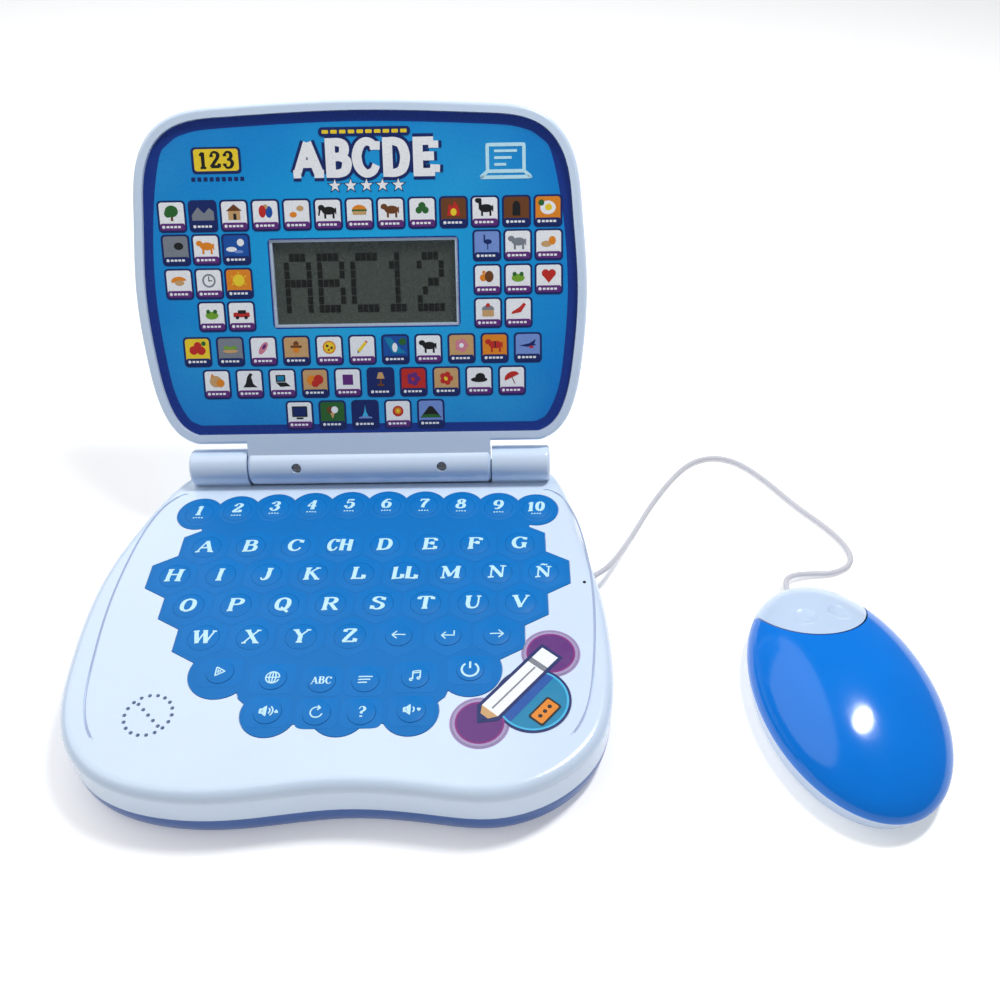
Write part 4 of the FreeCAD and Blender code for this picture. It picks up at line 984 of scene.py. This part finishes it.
def make_field():
    """Blue field inside the navy border, with the display's opening."""
    piece = prism("lid_field", lid_outline(FIELD_INSET), on_lid, PANEL_TOP - SHEET, PANEL_TOP + SHEET,
                  [panel_field_material()])
    cutter = prism("cutter", slab(LCD_X, LCD_Y, *OPENING_HALF, 2.0), on_lid, PANEL_TOP - 2, PANEL_TOP + 2)
    cut = piece.modifiers.new("opening", "BOOLEAN")
    cut.object = cutter
    cut.operation = "DIFFERENCE"
    cut.solver = "EXACT"
    bpy.context.view_layer.update()
    mesh = bpy.data.meshes.new_from_object(piece.evaluated_get(bpy.context.evaluated_depsgraph_get()))
    piece.modifiers.clear()
    piece.data = mesh
    bpy.data.objects.remove(cutter)
    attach(piece, "lid")


NUMBER_TAG_AT = (-60.8, 138.6)
TITLE_AT = (4.7, 138.6)
BANNER_Y = 149.4
STAR = [(math.sin(math.radians(36 * i)) * (1.2 if i % 2 else 2.9),
         math.cos(math.radians(36 * i)) * (1.2 if i % 2 else 2.9)) for i in range(10)]
LAPTOP_ICON = [[(58, 132), (58, 143), (74, 143), (74, 132), (58, 132)],
               [(55, 129.5), (58, 132), (74, 132), (77, 129.5), (55, 129.5)]]


def make_titles():
    sheet = Print(on_lid, PANEL_TOP)
    x, y = NUMBER_TAG_AT
    sheet.plate(slab(x, y - 0.2, 10.9, 5.6, 1.8), 3, "navy")
    sheet.plate(slab(x, y, 9.8, 4.6, 1.2), 4, "yellow")
    write(sheet, "123", x, y, 6.4, "black", thick=1.7, thin=1.0, layer=5)
    for k in range(9):
        sheet.stroke([(-72.4 + 2.7 * k, 130.6), (-70.7 + 2.7 * k, 130.6)], 1.7, 3, "navy")
    for grow, ink_name, layer in ((4.6, "navy", 3), (1.9, "white", 4)):
        write(sheet, "ABCDE", *TITLE_AT, 13.0, ink_name, thick=1.3, thin=0.8, layer=layer, grow=grow,
              widest=74)
    sheet.plate(slab(TITLE_AT[0], BANNER_Y, 20, 1.9, 1.6), 5, "navy")
    for k in range(10):
        sheet.plate(slab(-12.4 + 3.8 * k, BANNER_Y, 1.4, 0.75, 0.3), 6, "yellow")
    for k in range(5):
        sheet.plate(moved(STAR, -9.3 + 7.0 * k, 127.0, 1.25), 3, "navy")
        sheet.plate(moved(STAR, -9.3 + 7.0 * k, 127.0, 0.95), 5, "white")
    for line in LAPTOP_ICON:
        sheet.stroke(line, 1.5, 3, "legend")
    for k in range(3):
        sheet.stroke([(61, 140.4 - 2.8 * k), (71 - 2.4 * k, 140.4 - 2.8 * k)], 1.1, 3, "legend")
    sheet.make("lid_titles", "lid")


# The display's signs, dot by dot.
DOT_ROWS = {
    "A": ("01110", "10001", "10001", "11111", "10001", "10001", "10001"),
    "B": ("11110", "10001", "10001", "11110", "10001", "10001", "11110"),
    "C": ("01111", "10000", "10000", "10000", "10000", "10000", "01111"),
    "1": ("00100", "01100", "00100", "00100", "00100", "00100", "01110"),
    "2": ("01110", "10001", "00001", "00110", "01000", "10000", "11111"),
}


def make_display():
    sheet = Print(on_lid, LCD_FACE)
    for place, sign in enumerate("ABC12"):
        for row, dots in enumerate(DOT_ROWS[sign]):
            for column, dot in enumerate(dots):
                if dot == "1":
                    sheet.plate(slab(LCD_X - 35.5 + 15.0 * place + 2.5 * column, LCD_Y + 11.4 - 3.8 * row,
                                     1.1, 1.7),
                                2, "segment")
    sheet.make("lcd_segments", "lid")


make_field()
make_cards()
make_titles()
make_display()


# ---------------------------------------------------------------- deck badge, and painted shade for the groove and the pinhole
BADGE_TOP = 26.15
EARS = ((53.6, -60.2, 11.4), (81.6, -27.6, 11.8))
ROUND_AT = (73.8, -50.0)
PENCIL_AT = (67.4, -43.6)
TAG_AT = (78.4, -55.6)
BADGE_TURN = 49          # degrees
PINHOLE_AT = (97.4, 10.6)
GROOVE = 0.5             # depth of the deck's groove, and half its width
LEFT_SHIFT = 3.5         # the groove's left half stands further out than its right half
DECK_LINE_RIGHT = [(77, 72.5), (89, 66.5), (96, 52), (100, 28), (101.2, 2), (99, -32), (92, -61), (76, -78)]


def make_badge():
    sheet = Print(on_deck, BADGE_TOP)
    for x, y, radius in EARS:
        sheet.plate(disc(x, y, radius - 0.5, count=48), 1, "grey")
        sheet.plate(disc(x, y, radius - 0.9, count=48), 2, "lilac")
        sheet.plate(disc(x, y, radius - 2.0, count=48), 3, "plum")
        sheet.plate(disc(x, y, radius - 2.7, count=48), 4, "purple")
    for radius, layer, ink_name in ((15.0, 3, "navy"), (14.0, 4, "cyan"), (13.2, 5, "teal")):
        sheet.plate(disc(*ROUND_AT, radius, count=64), layer, ink_name)
    sheet.plate(disc(*ROUND_AT, 13.2, 13.2, 50, 230, 32), 6, "blue")
    for half, wide, layer, ink_name in ((22.5, 5.4, 7, "navy"), (21.2, 4.0, 8, "white")):
        body = [(-half + 6, -wide), (half, -wide), (half, wide), (-half + 6, wide), (-half, 0)]
        sheet.plate(moved(body, *PENCIL_AT, 1, BADGE_TURN), layer, ink_name)
    for outline, layer, ink_name in (
            (slab(13.5, 0, 1.2, 4.0), 9, "grey"),
            ([(-21.2, 0), (-15.2, -4.0), (-15.2, 4.0)], 9, "tan"),
            ([(-21.2, 0), (-18.4, -1.9), (-18.4, 1.9)], 10, "navy"),
            (slab(-1, 0, 12.8, 0.35), 9, "grey")):
        sheet.plate(moved(outline, *PENCIL_AT, 1, BADGE_TURN), layer, ink_name)
    dots = [(disc(2.8 * k, 0, 0.85, count=16), 10, "black") for k in (-1, 0, 1)]
    for outline, layer, ink_name in [(slab(0, 0, 6.0, 3.6, 1.0), 8, "black"),
                                     (slab(0, 0, 5.2, 2.8, 0.7), 9, "orange")] + dots:
        sheet.plate(moved(outline, *TAG_AT, 1, BADGE_TURN), layer, ink_name)
    sheet.make("badge_art", "base")


def make_deck_marks():
    """Painted shade: a darker line along the floor of the deck's groove, and a black disc for the dark inside
    of the pinhole beside the keys.
    """
    # Painted shade: a darker strip laid on the groove's floor on both halves of the deck.
    groove_shade = Print(on_deck, DECK - GROOVE)
    for side, shift in ((1, 0.0), (-1, LEFT_SHIFT)):
        line = [(side * (x + shift - GROOVE), y) for x, y in smooth_line(DECK_LINE_RIGHT) if -65 < y < 69]
        groove_shade.stroke(line, 0.9, 1, "groove_shade")
    groove_shade.make("deck_groove_shade", "base")
    # Painted shade: a black disc on the deck stands for the dark inside of the pinhole.
    pinhole_shade = Print(on_deck, DECK)
    pinhole_shade.plate(disc(*PINHOLE_AT, 0.75, count=20), 1, "black")
    pinhole_shade.make("deck_pinhole_shade", "base")


make_badge()
make_deck_marks()


# ---------------------------------------------------------------- floor and light
def make_floor():
    half = 4.0
    steps = 8
    points = [Vector((-half + 2 * half * i / steps, -half + 2 * half * j / steps, -0.0002))
              for j in range(steps + 1) for i in range(steps + 1)]
    faces = [(j * (steps + 1) + i, j * (steps + 1) + i + 1, (j + 1) * (steps + 1) + i + 1,
              (j + 1) * (steps + 1) + i)
             for j in range(steps) for i in range(steps)]
    pale = plastic("floor_pale", srgb(250, 250, 250), 0.7, 0.01)
    surface = pale.node_tree.nodes["Principled BSDF"]
    surface.inputs["Emission Color"].default_value = (1, 1, 1, 1)
    surface.inputs["Emission Strength"].default_value = 0.3
    new_object("floor", points, faces, materials=[pale])


def area_light(name, place, target, size, energy):
    data = bpy.data.lights.new(name, "AREA")
    data.shape = "ELLIPSE"
    data.size = size[0]
    data.size_y = size[1]
    data.energy = energy
    lamp = bpy.data.objects.new(name, data)
    bpy.context.scene.collection.objects.link(lamp)
    lamp.location = place
    lamp.rotation_euler = (Vector(target) - Vector(place)).to_track_quat("-Z", "Y").to_euler()


def make_light():
    world = bpy.data.worlds.new("studio")
    world.use_nodes = True
    world.node_tree.nodes["Background"].inputs["Color"].default_value = (0.93, 0.96, 1.0, 1)
    world.node_tree.nodes["Background"].inputs["Strength"].default_value = 0.20
    bpy.context.scene.world = world
    area_light("key", (0.40, 0.22, 0.95), (0.08, 0, 0), (0.13, 0.30), 6.4)
    area_light("fill", (-0.6, 0.35, 1.0), (0.0, 0, 0), (1.8, 1.4), 8.8)
    bpy.context.scene.view_settings.view_transform = "Standard"


make_floor()
make_light()
